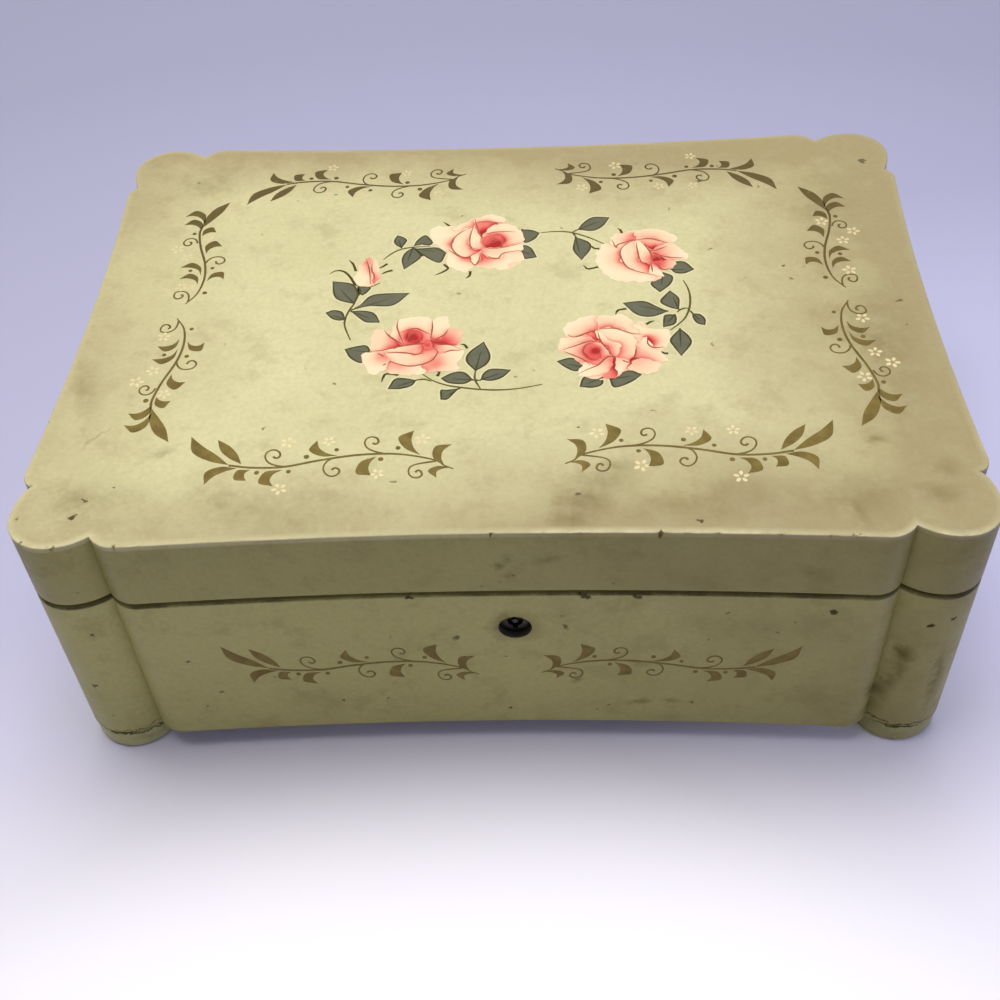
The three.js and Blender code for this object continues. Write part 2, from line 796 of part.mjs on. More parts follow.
// Musical movement, in its own group: X along the cylinder, Z up from the bedplate's top
const bedTop = baseTop + fitGap + bedThickness;
const movement = new THREE.Group();
movement.position.set(movementX, movementY, bedTop);
box.add(movement);

const barrelTop = cylinderHeight - pinionRadius - crownPlay;
const barrelRadius = crownRadius + crownToothWidth / 2;
const stopPinX = bedRight - combMargin;
const drumTop = cylinderHeight;
place(
  'movement_bedplate',
  cut(
    prism(
      [
        [-bedLeft, -bedFront + bedCorner], [-bedLeft + bedCorner, -bedFront],
        [bedRight - bedCorner, -bedFront], [bedRight, -bedFront + bedCorner],
        [bedRight, bedRear - bedCorner], [bedRight - bedCorner, bedRear],
        [-bedLeft + bedCorner, bedRear], [-bedLeft, bedRear - bedCorner],
      ].map(([x, y]) => new THREE.Vector2(x, y)),
      -bedThickness, 0,
    ),
    bar(arborRadius + shaftPlay, -bedThickness - cutOverrun, cutOverrun, barrelX, 0),
  ),
  material.casting,
  movement,
);

// Trapezoid teeth round a disc; a tooth's middle lies at the phase angle
const addendumShare = 0.85;
const dedendumShare = 1.15;
const toothTipShare = 0.11;
const toothRootShare = 0.3;
function gearOutline(teeth, module, phase) {
  const pitchRadius = (module * teeth) / 2;
  const tip = pitchRadius + module * addendumShare;
  const root = pitchRadius - module * dedendumShare;
  const step = (Math.PI * 2) / teeth;
  const tooth = [
    [root, -toothRootShare], [tip, -toothTipShare], [tip, toothTipShare], [root, toothRootShare],
  ];
  return Array.from({ length: teeth }, (_, i) => tooth.map(([radius, share]) => {
    const angle = phase + step * (i + share);
    return new THREE.Vector2(radius * Math.cos(angle), radius * Math.sin(angle));
  })).flat();
}

// A gear about X: its outline is drawn with -Z as the first axis and Y as the second
function gearX(teeth, module, phase, from, to, y, z, bore = 0) {
  const holes = bore > 0 ? [circle(bore)] : [];
  const disc = prism(gearOutline(teeth, module, phase), from, to, 0, holes);
  return disc.rotateY(Math.PI / 2).translate(0, y, z);
}
const facing = (dy, dz) => Math.atan2(dy, -dz);

// Spring barrel: a shallow drum whose crown of teeth turns the cylinder's pinion
const crownTipZ = barrelTop + gearModule * addendumShare;
const crownRootZ = barrelTop - gearModule * dedendumShare;
const crownToothDepth = crownToothWidth - crownToothInset;
const crownStep = (Math.PI * 2) / crownTeeth;
function crownTooth(i) {
  const half = (crownStep * crownRadius) / 2;
  const seatZ = crownRootZ - barrelWall / 2;
  const profile = [
    [-toothRootShare, seatZ], [-toothRootShare, crownRootZ], [-toothTipShare, crownTipZ],
    [toothTipShare, crownTipZ], [toothRootShare, crownRootZ], [toothRootShare, seatZ],
  ];
  const tooth = new THREE.ExtrudeGeometry(
    new THREE.Shape(profile.map(([share, z]) => new THREE.Vector2(2 * share * half, z))),
    { depth: crownToothDepth, bevelEnabled: false },
  );
  tooth.rotateX(Math.PI / 2).rotateZ(Math.PI / 2);
  tooth.translate(crownRadius - crownToothDepth / 2, 0, 0);
  return tooth.rotateZ((i + 0.5) * crownStep);
}
const barrelCan = new THREE.LatheGeometry(
  [
    [arborRadius + shaftPlay, barrelClearance], [barrelRadius, barrelClearance],
    [barrelRadius, crownRootZ], [crownRadius - crownToothWidth / 2, crownRootZ],
    [crownRadius - crownToothWidth / 2, crownRootZ - barrelWall],
    [arborRadius + shaftPlay, crownRootZ - barrelWall], [arborRadius + shaftPlay, barrelClearance],
  ].map(([r, z]) => new THREE.Vector2(r, z)),
  crownTeeth,
).rotateX(Math.PI / 2);
place(
  'spring_barrel',
  join(barrelCan, ...Array.from({ length: crownTeeth }, (_, i) => crownTooth(i))).translate(barrelX, 0, 0),
  material.brass,
  movement,
);

// Winding arbor through the barrel, and the butterfly key screwed on its lower end under the base
const keyTop = baseBottom - bedTop - shaftPlay;
const keyBottom = keyFloorGap - bedTop;
const arborBottom = keyBottom + keyFloor;
const arborHeadBottom = crownRootZ - barrelWall + shaftPlay;
const arborHeadTop = arborHeadBottom + arborHeadHeight;
place(
  'winding_arbor',
  join(
    bar(arborRadius, arborBottom, arborHeadTop, barrelX, 0),
    bar(arborHeadRadius, arborHeadBottom, arborHeadTop, barrelX, 0, hexSides),
  ),
  material.steel,
  movement,
);
const wingTop = keyBottom + keyWingHeight;
const wingX = keyWingSpan / 2 - keyWingRound;
place(
  'winding_key',
  cut(
    join(
      bar(keyStemRadius, keyBottom, keyTop, barrelX, 0),
      block(
        barrelX - wingX, barrelX + wingX, -keyWingThickness / 2, keyWingThickness / 2, keyBottom, wingTop,
      ),
      bar(keyWingRound, keyBottom, wingTop, barrelX - wingX, 0),
      bar(keyWingRound, keyBottom, wingTop, barrelX + wingX, 0),
    ),
    bar(arborRadius + shaftPlay, arborBottom - shaftPlay, keyTop + cutOverrun, barrelX, 0),
  ),
  material.brass,
  movement,
);

// Cylinder: a pinned drum on its shaft, with a pinion at one end and a gear at the other
const gearLeft = drumEnd + gearSpace;
const gearRight = gearLeft + gearWidth;
const wheelLeft = gearRight + 2 * gearSpace + gearWidth / 4;
const wheelRight = wheelLeft + wormWheelWidth;
const wheelMiddle = (wheelLeft + wheelRight) / 2;
const frameLeft = wheelMiddle + fanRadius + gearSpace;
const frameRight = frameLeft + bearingThickness;
const bore = cylinderShaftRadius + shaftPlay;
const golden = (Math.sqrt(5) - 1) / 2;
const drum = prism(circle(cylinderRadius, roundSteps * 2), -drumEnd, drumEnd, 0, [circle(bore)]);
drum.rotateY(Math.PI / 2);
const trackPitch = cylinderLength / tuneTracks;
const tunePins = [];
for (let track = 0; track < tuneTracks; track += 1) {
  for (let note = 0; note < pinsPerTrack; note += 1) {
    const pin = new THREE.CylinderGeometry(pinRadius, pinRadius, 2 * pinHeight, 4);
    pin.translate(0, cylinderRadius, 0);
    pin.rotateX(Math.PI * 2 * ((track * golden + note / pinsPerTrack + (note * note) / pinSpread) % 1));
    tunePins.push(pin.translate(-drumEnd + trackPitch * (track + 0.5), 0, 0));
  }
}
place('cylinder_drum', join(drum, ...tunePins).translate(0, 0, cylinderHeight), material.brass, movement);
place(
  'cylinder_arbor',
  join(
    barX(cylinderShaftRadius, pinionLeft - gearSpace, frameRight + gearSpace, 0, cylinderHeight),
    gearX(pinionTeeth, gearModule, facing(0, -1), pinionLeft, pinionRight, 0, cylinderHeight),
  ),
  material.steel,
  movement,
);

// Governor: a wheel shaft beside the cylinder, a worm standing on the bedplate, and the fan on top
const trainDistance = (trainModule * (cylinderGearTeeth + governorPinionTeeth)) / 2;
const wheelShaftZ = cylinderHeight - governorDrop;
const wheelShaftY = Math.sqrt(trainDistance ** 2 - governorDrop ** 2);
const towardsWheel = facing(wheelShaftY, -governorDrop);
place(
  'cylinder_gear',
  gearX(cylinderGearTeeth, trainModule, towardsWheel, gearLeft, gearRight, 0, cylinderHeight, bore),
  material.brass,
  movement,
);
const wheelBore = governorShaftRadius + shaftPlay;
const halfTooth = Math.PI / governorPinionTeeth;
place(
  'governor_arbor',
  join(
    barX(governorShaftRadius, gearLeft - gearSpace, frameRight + gearSpace, wheelShaftY, wheelShaftZ),
    gearX(
      governorPinionTeeth, trainModule, towardsWheel + Math.PI + halfTooth, gearLeft, gearRight,
      wheelShaftY, wheelShaftZ,
    ),
  ),
  material.steel,
  movement,
);
place(
  'worm_wheel',
  gearX(
    wormWheelTeeth, trainModule, facing(1, 0), wheelLeft, wheelRight, wheelShaftY, wheelShaftZ, wheelBore,
  ),
  material.brass,
  movement,
);

// The worm: one right-handed start whose pitch is the wheel's, in one skin with its spindle
const wormPitch = Math.PI * trainModule;
const wormLength = wormTurns * wormPitch;
const wormY = wheelShaftY + (trainModule * wormWheelTeeth) / 2 + wormPitchRadius;
const wormBottom = wheelShaftZ - wormLength / 2;
const wormTop = wheelShaftZ + wormLength / 2;
const fanBottom = wormTop + gearSpace;
const fanTop = fanBottom + fanHeight;
const armBottom = fanTop + gearSpace;
const armTop = armBottom + bearingThickness;
const threadRootShare = 0.24;
const threadTipShare = 0.08;
const threadHeight = wormPitchRadius + wormAddendum - wormCore;

// At the wheel's side, a quarter turn back from X, the space between two threads has to face a tooth
function wormRadius(angle, z) {
  const turn = z / wormPitch - angle / (Math.PI * 2) + 1 / 4;
  const fromCrest = Math.abs(turn - Math.round(turn));
  const share = (threadRootShare - fromCrest) / (threadRootShare - threadTipShare);
  return wormCore + threadHeight * Math.min(1, Math.max(0, share));
}

function wormRing(z, radiusAt) {
  return Array.from({ length: slimSteps }, (_, i) => {
    const angle = (i / slimSteps) * Math.PI * 2;
    const radius = radiusAt(angle);
    return new THREE.Vector3(radius * Math.cos(angle), radius * Math.sin(angle), z);
  });
}

const spindle = () => governorShaftRadius;
const wormRows = Array.from({ length: wormTurns * threadRows - 1 }, (_, i) => {
  const z = ((i + 1) / threadRows - wormTurns / 2) * wormPitch;
  return wormRing(wheelShaftZ + z, (angle) => wormRadius(angle, z));
});
place(
  'governor_worm',
  loft([
    wormRing(shaftPlay, spindle),
    wormRing(wormBottom, spindle),
    wormRing(wormBottom, () => wormCore),
    ...wormRows,
    wormRing(wormTop, () => wormCore),
    wormRing(wormTop, spindle),
    wormRing(armTop + shaftPlay, spindle),
  ]).translate(wheelMiddle, wormY, 0),
  material.steel,
  movement,
);
place(
  'governor_fan',
  cut(
    join(
      bar(wheelBore * 2, fanBottom, fanTop, 0, 0, slimSteps),
      block(-fanRadius, fanRadius, -fanBlade / 2, fanBlade / 2, fanBottom, fanTop),
      block(-fanBlade / 2, fanBlade / 2, -fanRadius, fanRadius, fanBottom, fanTop),
    ),
    bar(wheelBore, fanBottom - cutOverrun, fanTop + cutOverrun, 0, 0, slimSteps),
  ).translate(wheelMiddle, wormY, 0),
  material.fanPlastic,
  movement,
);

// Bearings: a plate between drum and pinion, and the governor's frame with an arm over the fan
const bearingTop = cylinderHeight + bearingCap;
place(
  'cylinder_bearing',
  cut(
    block(leftBearingLeft, leftBearingRight, -bearingWidth / 2, bearingWidth / 2, 0, bearingTop),
    barX(bore, leftBearingLeft - cutOverrun, leftBearingRight + cutOverrun, 0, cylinderHeight),
  ),
  material.casting,
  movement,
);
place(
  'governor_frame',
  cut(
    join(
      block(frameLeft, frameRight, -bearingWidth / 2, wormY + bearingWidth / 4, 0, armTop),
      block(
        wheelMiddle - bearingWidth / 4, frameRight, wormY - bearingWidth / 4, wormY + bearingWidth / 4,
        armBottom, armTop,
      ),
    ),
    barX(bore, frameLeft - cutOverrun, frameRight + cutOverrun, 0, cylinderHeight),
    barX(wheelBore, frameLeft - cutOverrun, frameRight + cutOverrun, wheelShaftY, wheelShaftZ),
    bar(wheelBore, armBottom - cutOverrun, armTop + cutOverrun, wheelMiddle, wormY, slimSteps),
  ),
  material.casting,
  movement,
);

// Comb: eighteen tuned teeth, the bass teeth longest, their tips just clear of the drum
const combTipY = -cylinderRadius - combTipGap;
const combRootY = combTipY - combTeethLong;
const combBackY = combRootY - combBackDepth;
const combHalf = drumEnd + combMargin;
function combOutline() {
  const points = [new THREE.Vector2(-combHalf, combBackY), new THREE.Vector2(combHalf, combBackY)];
  points.push(new THREE.Vector2(combHalf, combTipY - combTeethShort));
  for (let i = tuneTracks - 1; i >= 0; i -= 1) {
    const middle = -drumEnd + trackPitch * (i + 0.5);
    const half = (trackPitch * (1 - combSlotShare)) / 2;
    const root = (share) => combTipY - combTeethLong + (combTeethLong - combTeethShort) * share;
    const rootRight = root((i + 1) / tuneTracks);
    const rootLeft = root(i / tuneTracks);
    points.push(
      new THREE.Vector2(middle + half, rootRight), new THREE.Vector2(middle + half, combTipY),
      new THREE.Vector2(middle - half, combTipY), new THREE.Vector2(middle - half, rootLeft),
    );
  }
  points.push(new THREE.Vector2(-combHalf, combTipY - combTeethLong));
  return points;
}
const combBottom = cylinderHeight - combThickness / 2;
const combTop = combBottom + combThickness;
const teethBottom = cylinderHeight - combToothThickness / 2;
const combPlate = prism(combOutline(), combBottom, combTop);
place(
  'comb',
  cut(
    combPlate,
    block(
      -combHalf - cutOverrun, combHalf + cutOverrun, combRootY, combTipY + cutOverrun,
      combBottom - cutOverrun, teethBottom,
    ),
    block(
      -combHalf - cutOverrun, combHalf + cutOverrun, combRootY, combTipY + cutOverrun,
      teethBottom + combToothThickness, combTop + cutOverrun,
    ),
  ),
  material.steel,
  movement,
);
place(
  'comb_riser',
  block(
    -combHalf + riserMargin, combHalf - riserMargin, combBackY + riserMargin, combRootY - riserMargin,
    0, combBottom,
  ),
  material.casting,
  movement,
);
for (const [i, share] of [-0.6, 0.6].entries()) {
  const x = combHalf * share;
  const y = (combBackY + combRootY) / 2;
  place(
    `comb_screw_${i + 1}`,
    cut(
      bar(combScrewRadius, combTop, combTop + combScrewHeight, x, y, slimSteps),
      block(
        x - combScrewRadius - cutOverrun, x + combScrewRadius + cutOverrun, y - combScrewHeight / 4,
        y + combScrewHeight / 4, combTop + combScrewHeight / 2, combTop + combScrewHeight + cutOverrun,
      ),
    ),
    material.darkSteel,
    movement,
  );
}

// Stop pin: it stands in a sleeve, the closed lid keeps it down, and its arm then reaches the fan
const padUnderside = padBottom - satinCrown - bedTop;
const stopArmZ = (fanBottom + fanTop) / 2;
const stopPinY = wormY + fanRadius + stopArmGap + stopArmThickness / 2;
place(
  'stop_pin',
  join(
    bar(stopPinRadius, stopPinBottom, padUnderside - stopPinLidGap, stopPinX, stopPinY, slimSteps),
    block(
      wheelMiddle, stopPinX, stopPinY - stopArmThickness / 2, stopPinY + stopArmThickness / 2,
      stopArmZ - stopArmHeight / 2, stopArmZ + stopArmHeight / 2,
    ),
  ),
  material.steel,
  movement,
);
place(
  'stop_pin_sleeve',
  cut(
    bar(stopPinRadius + sleeveWall, 0, stopSleeveHeight, stopPinX, stopPinY, slimSteps),
    bar(
      stopPinRadius + shaftPlay, stopPinBottom - shaftPlay, stopSleeveHeight + cutOverrun,
      stopPinX, stopPinY, slimSteps,
    ),
  ),
  material.brass,
  movement,
);

// Clear pane over the movement, on the partitions and on two ledges at the walls
const paneBottom = partitionTop;
const paneTop = paneBottom + paneThickness;
place(
  'movement_pane',
  cut(
    block(
      -bayX + fitGap, movementBayRight + partitionThickness, frontBayBack, bayY - fitGap,
      paneBottom, paneTop,
    ),
    bar(stopPinRadius + pinHolePlay, paneBottom - cutOverrun, paneTop + cutOverrun,
      movementX + stopPinX, movementY + stopPinY),
  ),
  material.pane,
);
const ledgeBottom = paneBottom - paneLedgeThickness;
place(
  'pane_ledge',
  join(
    block(-bayX, movementBayRight, bayY - paneLedge, bayY, ledgeBottom, paneBottom),
    block(-bayX, -bayX + paneLedge, rearBayFront, bayY, ledgeBottom, paneBottom),
  ),
  material.velvet,
);

// The footprint runs from the front crests to the hinge knuckles: its centre is the origin
const rearReach = Math.max(halfDepth, hingeAxisY + knuckleRadius);
box.position.y = -(rearReach - halfDepth) / 2;

export default box;
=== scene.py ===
"""The looks of the musical jewelry box: aged lacquer on wood, painted sprays and roses, and a lined inside.

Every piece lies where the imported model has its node, in metres. Lengths in the sections below are in
millimetres, as on a drawing, and turn to metres where a mesh or a node is made.
"""
import math
import random

import bmesh
import bpy
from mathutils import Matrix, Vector, noise
from mathutils.geometry import delaunay_2d_cdt


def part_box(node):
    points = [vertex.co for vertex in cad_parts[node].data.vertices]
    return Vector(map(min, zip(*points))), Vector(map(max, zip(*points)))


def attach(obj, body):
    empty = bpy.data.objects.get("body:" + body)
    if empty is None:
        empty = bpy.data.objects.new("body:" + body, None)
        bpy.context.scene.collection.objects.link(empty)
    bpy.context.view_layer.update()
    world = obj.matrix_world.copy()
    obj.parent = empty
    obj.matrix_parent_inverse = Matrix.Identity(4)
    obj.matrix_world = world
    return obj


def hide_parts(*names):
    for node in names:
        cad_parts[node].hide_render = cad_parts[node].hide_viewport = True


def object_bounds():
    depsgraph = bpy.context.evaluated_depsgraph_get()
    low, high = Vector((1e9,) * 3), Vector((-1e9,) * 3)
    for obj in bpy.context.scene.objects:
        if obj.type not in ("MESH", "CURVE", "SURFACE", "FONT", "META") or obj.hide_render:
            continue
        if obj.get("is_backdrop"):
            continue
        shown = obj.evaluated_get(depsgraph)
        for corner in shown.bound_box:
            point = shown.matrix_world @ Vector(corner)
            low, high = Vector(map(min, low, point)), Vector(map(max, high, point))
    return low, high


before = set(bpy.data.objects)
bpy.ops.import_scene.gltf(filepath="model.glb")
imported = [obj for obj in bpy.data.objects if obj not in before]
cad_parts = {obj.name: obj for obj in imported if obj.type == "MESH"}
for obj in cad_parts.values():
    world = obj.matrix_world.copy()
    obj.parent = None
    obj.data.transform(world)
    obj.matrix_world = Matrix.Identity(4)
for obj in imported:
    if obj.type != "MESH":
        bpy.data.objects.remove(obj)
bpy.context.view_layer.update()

# Camera
# A phone's view of the front from a little above, on a 36 mm wide sensor.
camera_data = bpy.data.cameras.new("camera")
camera_data.lens = 47.552
camera_data.sensor_width = 36.0
camera_data.clip_start = 0.01
camera = bpy.data.objects.new("camera", camera_data)
camera.location = (0.0166497, -0.342668, 0.372158)
camera.rotation_euler = (0.7566218214, 0.0419923818, 0.0183892575)
bpy.context.collection.objects.link(camera)
bpy.context.scene.camera = camera
bpy.context.scene.view_settings.view_transform = "Standard"

# Floor and backdrop
# A pale paper sweep: flat under the box, then curved up behind it. It has a cool, faintly violet white.
MM = 0.001


def linear(code):
    """A colour written as sRGB hex, as linear values with full alpha."""
    parts = [int(code[i:i + 2], 16) / 255 for i in (1, 3, 5)]
    return tuple(c / 12.92 if c <= 0.04045 else ((c + 0.055) / 1.055) ** 2.4 for c in parts) + (1.0,)


def add(tree, kind, values=None, **settings):
    """One node, of a shader kind if it has no other prefix, with its settings and links.

    values gives its inputs, each by a number, a colour, a socket, or a node, which stands for its first
    output. Mix takes its factor at 0 and its colours at 6 and 7; Map Range takes its value at 0, the range
    that it comes from at 1 and 2, and the range that it goes to at 3 and 4.
    """
    made = tree.nodes.new(kind if "Node" in kind else "ShaderNode" + kind)
    for key, value in settings.items():
        setattr(made, key, value)
    for key, value in (values or {}).items():
        if isinstance(value, bpy.types.Node):
            value = next(output for output in value.outputs if output.enabled)
        if isinstance(value, bpy.types.NodeSocket):
            tree.links.new(value, made.inputs[key])
        else:
            made.inputs[key].default_value = value
    return made


def new_material(name):
    """A material without nodes, and its tree."""
    material = bpy.data.materials.new(name)
    material.use_nodes = True
    material.node_tree.nodes.clear()
    return material, material.node_tree


def mesh_piece(name, points, faces, material, smooth_angle=None):
    """An object from points in millimetres; smooth_angle in degrees rounds the shading up to that edge."""
    mesh = bpy.data.meshes.new(name)
    mesh.from_pydata([tuple(c * MM for c in p) for p in points], [], faces)
    mesh.validate()
    if smooth_angle is not None:
        mesh.shade_smooth()
        mesh.set_sharp_from_angle(angle=math.radians(smooth_angle))
    mesh.materials.append(material)
    piece = bpy.data.objects.new(name, mesh)
    bpy.context.collection.objects.link(piece)
    return piece


def sweep():
    """The paper sweep as one smooth sheet, from in front of the box to high behind it."""
    half_width, front, bend_start, bend_radius, height = 8000, -8000, 700, 500, 1500
    profile = [(front, 0), (bend_start, 0)]
    for i in range(1, 25):
        turn = math.radians(90 * i / 24)
        profile.append((bend_start + bend_radius * math.sin(turn), bend_radius * (1 - math.cos(turn))))
    profile.append((bend_start + bend_radius, height))
    points = [(side * half_width, y, z) for y, z in profile for side in (-1, 1)]
    faces = [(2 * i, 2 * i + 1, 2 * i + 3, 2 * i + 2) for i in range(len(profile) - 1)]
    return mesh_piece("paper_sweep", points, faces, paper, smooth_angle=60)


def seeing(tree):
    """1 for camera, glossy and clear rays, which see the backdrop's own tone and the paper's painted glow; 0
    for others.
    """
    ray = add(tree, "LightPath")
    seen = add(tree, "Math", {0: ray.outputs["Is Camera Ray"], 1: ray.outputs["Is Glossy Ray"]},
               operation="MAXIMUM")
    return add(tree, "Math", {0: seen, 1: ray.outputs["Is Transmission Ray"]}, operation="MAXIMUM")


# Matt paper, in faint clouds half a metre wide. Away from a pool in front of the box it turns darker and more
# lavender: a painted falloff of light. Camera, glossy and clear rays also see a painted glow in that pool,
# beside the box on the right and far behind it, while the paper still takes the box's shadow.
pool_middle, side_middle = (0.0, -0.37, 0.0), (0.26, -0.02, 0.0)
paper, tree = new_material("matt_paper")
place = add(tree, "TexCoord").outputs["Object"]
unevenness = add(tree, "TexNoise", {"Vector": place, "Scale": 2.0, "Detail": 3.0})
tint = add(tree, "ValToRGB", {"Fac": unevenness})
for stop, position, tone in zip(tint.color_ramp.elements, (0.35, 0.7), ("#f1effa", "#f7f5ff")):
    stop.position, stop.color = position, linear(tone)
# Painted falloff: the paper darkens towards lavender away from the pool in front of the box.
from_pool = add(tree, "VectorMath", {0: place, 1: pool_middle}, operation="DISTANCE")
near_pool = add(tree, "MapRange", {0: from_pool, 1: 0.22, 2: 0.38}, interpolation_type="SMOOTHSTEP")
far_pool = add(tree, "MapRange", {0: from_pool, 1: 0.34, 2: 0.75})
painted_falloff = add(tree, "Mix", {0: near_pool, 6: tint, 7: linear("#c3c3e5")}, data_type="RGBA")
painted_falloff = add(tree, "Mix", {0: far_pool, 6: painted_falloff, 7: linear("#a8a9c4")}, data_type="RGBA")
matt = add(tree, "BsdfDiffuse", {"Color": painted_falloff})
# Painted glow for camera, glossy and clear rays: a pool of light in front of the box, a lift far behind it,
# and a patch beside the box on the right.
painted_pool_glow = add(tree, "MapRange", {0: from_pool, 1: 0.265, 2: 0.15, 4: 0.26})
painted_far_glow = add(tree, "MapRange", {0: from_pool, 1: 0.95, 2: 1.9, 4: 0.36})
from_side = add(tree, "VectorMath", {0: place, 1: side_middle}, operation="DISTANCE")
painted_side_glow = add(tree, "MapRange", {0: from_side, 1: 0.24, 2: 0.06, 4: 0.15})
lift = add(tree, "Math", {0: painted_pool_glow, 1: painted_far_glow}, operation="MAXIMUM")
lift = add(tree, "Math", {0: lift, 1: painted_side_glow}, operation="MAXIMUM")
lift = add(tree, "Math", {0: seeing(tree), 1: lift}, operation="MULTIPLY")
painted_glow = add(tree, "Emission", {"Color": linear("#efeffc"), "Strength": lift})
lit_paper = add(tree, "AddShader", {0: matt, 1: painted_glow})
add(tree, "OutputMaterial", {"Surface": lit_paper})
sheet = sweep()
sheet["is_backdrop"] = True

# Studio light
# A large soft box above and a little behind the box lights the lid, and the world fills the shadows, so
# the upright sides, which the lacquer also darkens with painted shade, stay about three stops under the lid.
world = bpy.data.worlds.new("studio")
bpy.context.scene.world = world
world.use_nodes = True
tree = world.node_tree
fill = add(tree, "Background", {"Color": linear("#efeae6"), "Strength": 0.14})
wall = add(tree, "Background", {"Color": linear("#b3b3cc"), "Strength": 1.0})
shown = add(tree, "MixShader", {0: seeing(tree), 1: fill, 2: wall})
tree.links.new(shown.outputs[0], tree.nodes["World Output"].inputs["Surface"])


def soft_box(name, place, target, size, watts, colour):
    """A square area lamp at a place in metres, turned to a target."""
    lamp = bpy.data.lights.new(name, "AREA")
    lamp.shape = "RECTANGLE"
    lamp.size, lamp.size_y = size
    lamp.energy = watts
    lamp.color = linear(colour)[:3]
    made = bpy.data.objects.new(name, lamp)
    made.location = place
    made.rotation_euler = (Vector(target) - Vector(place)).to_track_quat("-Z", "Y").to_euler()
    bpy.context.collection.objects.link(made)


soft_box("top_light", (-0.14, 0.2, 1.3), (0, 0.0, 0.05), (1.2, 0.9), 19.5, "#fffcf6")
soft_box("front_fill", (-0.5, -1.4, 0.75), (0, 0, 0.05), (1.4, 0.8), 0.7, "#fffaf2")
soft_box("cool_side", (1.0, -0.45, 0.4), (0.16, -0.06, 0.02), (0.8, 0.6), 3.4, "#b4b9ff")

# Case walls, posts and lid
# Solid wood, sawn and sanded to one outline: hollowed walls between rounded posts, with a notch on each
# side of a post. The outline is the same for case and lid, so it is drawn once and cut into runs.
board_low, board_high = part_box("lid_top_board")
half_width = board_high.x / MM
half_depth = (board_high.y - board_low.y) / 2 / MM
centre_y = (board_high.y + board_low.y) / 2 / MM
notch_front = (half_width - 25, half_depth - 4.4)
notch_side = (half_width - 2.7, half_depth - 24.4)
post_rounding = 12.7
wall_ease_front, wall_ease_side = 8, 5
hollow_front, hollow_side = 3.4, 2.4
wall_thickness = 9
outline_step = 1.0


def arch(notch, crest, along_x):
    """From a notch to a crest, level with the wall at the crest."""
    run = crest[0] - notch[0] if along_x else crest[1] - notch[1]
    rise = crest[1] - notch[1] if along_x else crest[0] - notch[0]
    radius = (run * run + rise * rise) / (2 * rise)
    angle_all = math.asin(abs(run) / radius)
    steps = max(3, round(abs(run) / outline_step))
    points = []
    for i in range(steps):
        angle = angle_all * (1 - i / steps)
        out = radius * (1 - math.cos(angle))
        side = math.copysign(radius * math.sin(angle), run)
        points.append((crest[0] - side, crest[1] - out) if along_x else (crest[0] - out, crest[1] - side))
    return points


def hollow(half, level, depth):
    """The hollow of a wall as a shallow arc, as pairs of place along it and level."""
    radius = (half * half + depth * depth) / (2 * depth)
    steps = round(2 * half / outline_step)
    pairs = []
    for i in range(steps + 1):
        along = half * (1 - 2 * i / steps)
        pairs.append((along, level - depth + radius - math.sqrt(radius * radius - along * along)))
    return pairs


def quarter_outline():
    """The rear right post's run and both walls' runs, as in the rear right quarter."""
    crest_front = (half_width - post_rounding, half_depth)
    crest_side = (half_width, half_depth - post_rounding)
    post = arch(notch_front, crest_front, True)
    steps = 24
    for i in range(steps + 1):
        angle = math.pi / 2 * (1 - i / steps)
        post.append((crest_front[0] + post_rounding * math.cos(angle),
                     crest_side[1] + post_rounding * math.sin(angle)))
    post += arch(notch_side, crest_side, False)[::-1]
    end_front = (notch_front[0] - wall_ease_front, half_depth)
    end_side = (half_width, notch_side[1] - wall_ease_side)
    ease = arch(notch_front, end_front, True)
    rear = ease + hollow(end_front[0], half_depth, hollow_front) + [(-x, y) for x, y in ease[::-1]]
    ease = arch(notch_side, end_side, False)
    side = ease + [(y, x) for x, y in hollow(end_side[1], half_width, hollow_side)]
    side += [(x, -y) for x, y in ease[::-1]]
    return post, rear, side


def mirrored(points, sx, sy):
    """The points in another quarter, in the same turning sense."""
    moved = [(x * sx, y * sy) for x, y in points]
    return moved if sx * sy > 0 else moved[::-1]


def whole_outline():
    """The outline counter-clockwise from the right wall's front end, with the span of each run in it."""
    post, rear, side = quarter_outline()
    post, side = post[::-1], side[::-1]
    runs = [
        ("right", side), ("post_rear_right", post), ("rear", rear),
        ("post_rear_left", mirrored(post, -1, 1)), ("left", mirrored(side, -1, 1)),
        ("post_front_left", mirrored(post, -1, -1)), ("front", mirrored(rear, 1, -1)),
        ("post_front_right", mirrored(post, 1, -1)),
    ]
    points, spans = [side[0]], {}
    for name, run in runs:
        spans[name] = (len(points) - 1, len(points) + len(run) - 2)
        points += run[1:]
    return points[:-1], spans


def inward_normals(points):
    """The mitred inward normal at each point of a closed counter-clockwise outline."""
    normals = []
    for i, point in enumerate(points):
        before, after = points[i - 1], points[(i + 1) % len(points)]
        sides = []
        for a, b in ((before, point), (point, after)):
            length = math.dist(a, b)
            sides.append(((a[1] - b[1]) / length, (b[0] - a[0]) / length))
        (ax, ay), (bx, by) = sides
        scale = 1 / (1 + ax * bx + ay * by)
        normals.append(((ax + bx) * scale, (ay + by) * scale))
    return normals


outline, spans = whole_outline()
outline_inward = inward_normals(outline)
inner_x = half_width - hollow_side - wall_thickness
inner_y = half_depth - hollow_front - wall_thickness


def run_of(*names):
    """The outline's points over neighbouring runs, each with its inward normal."""
    first, last = spans[names[0]][0], spans[names[-1]][1]
    if last < first:
        last += len(outline)
    picked = [k % len(outline) for k in range(first, last + 1)]
    return [(outline[k], outline_inward[k]) for k in picked]
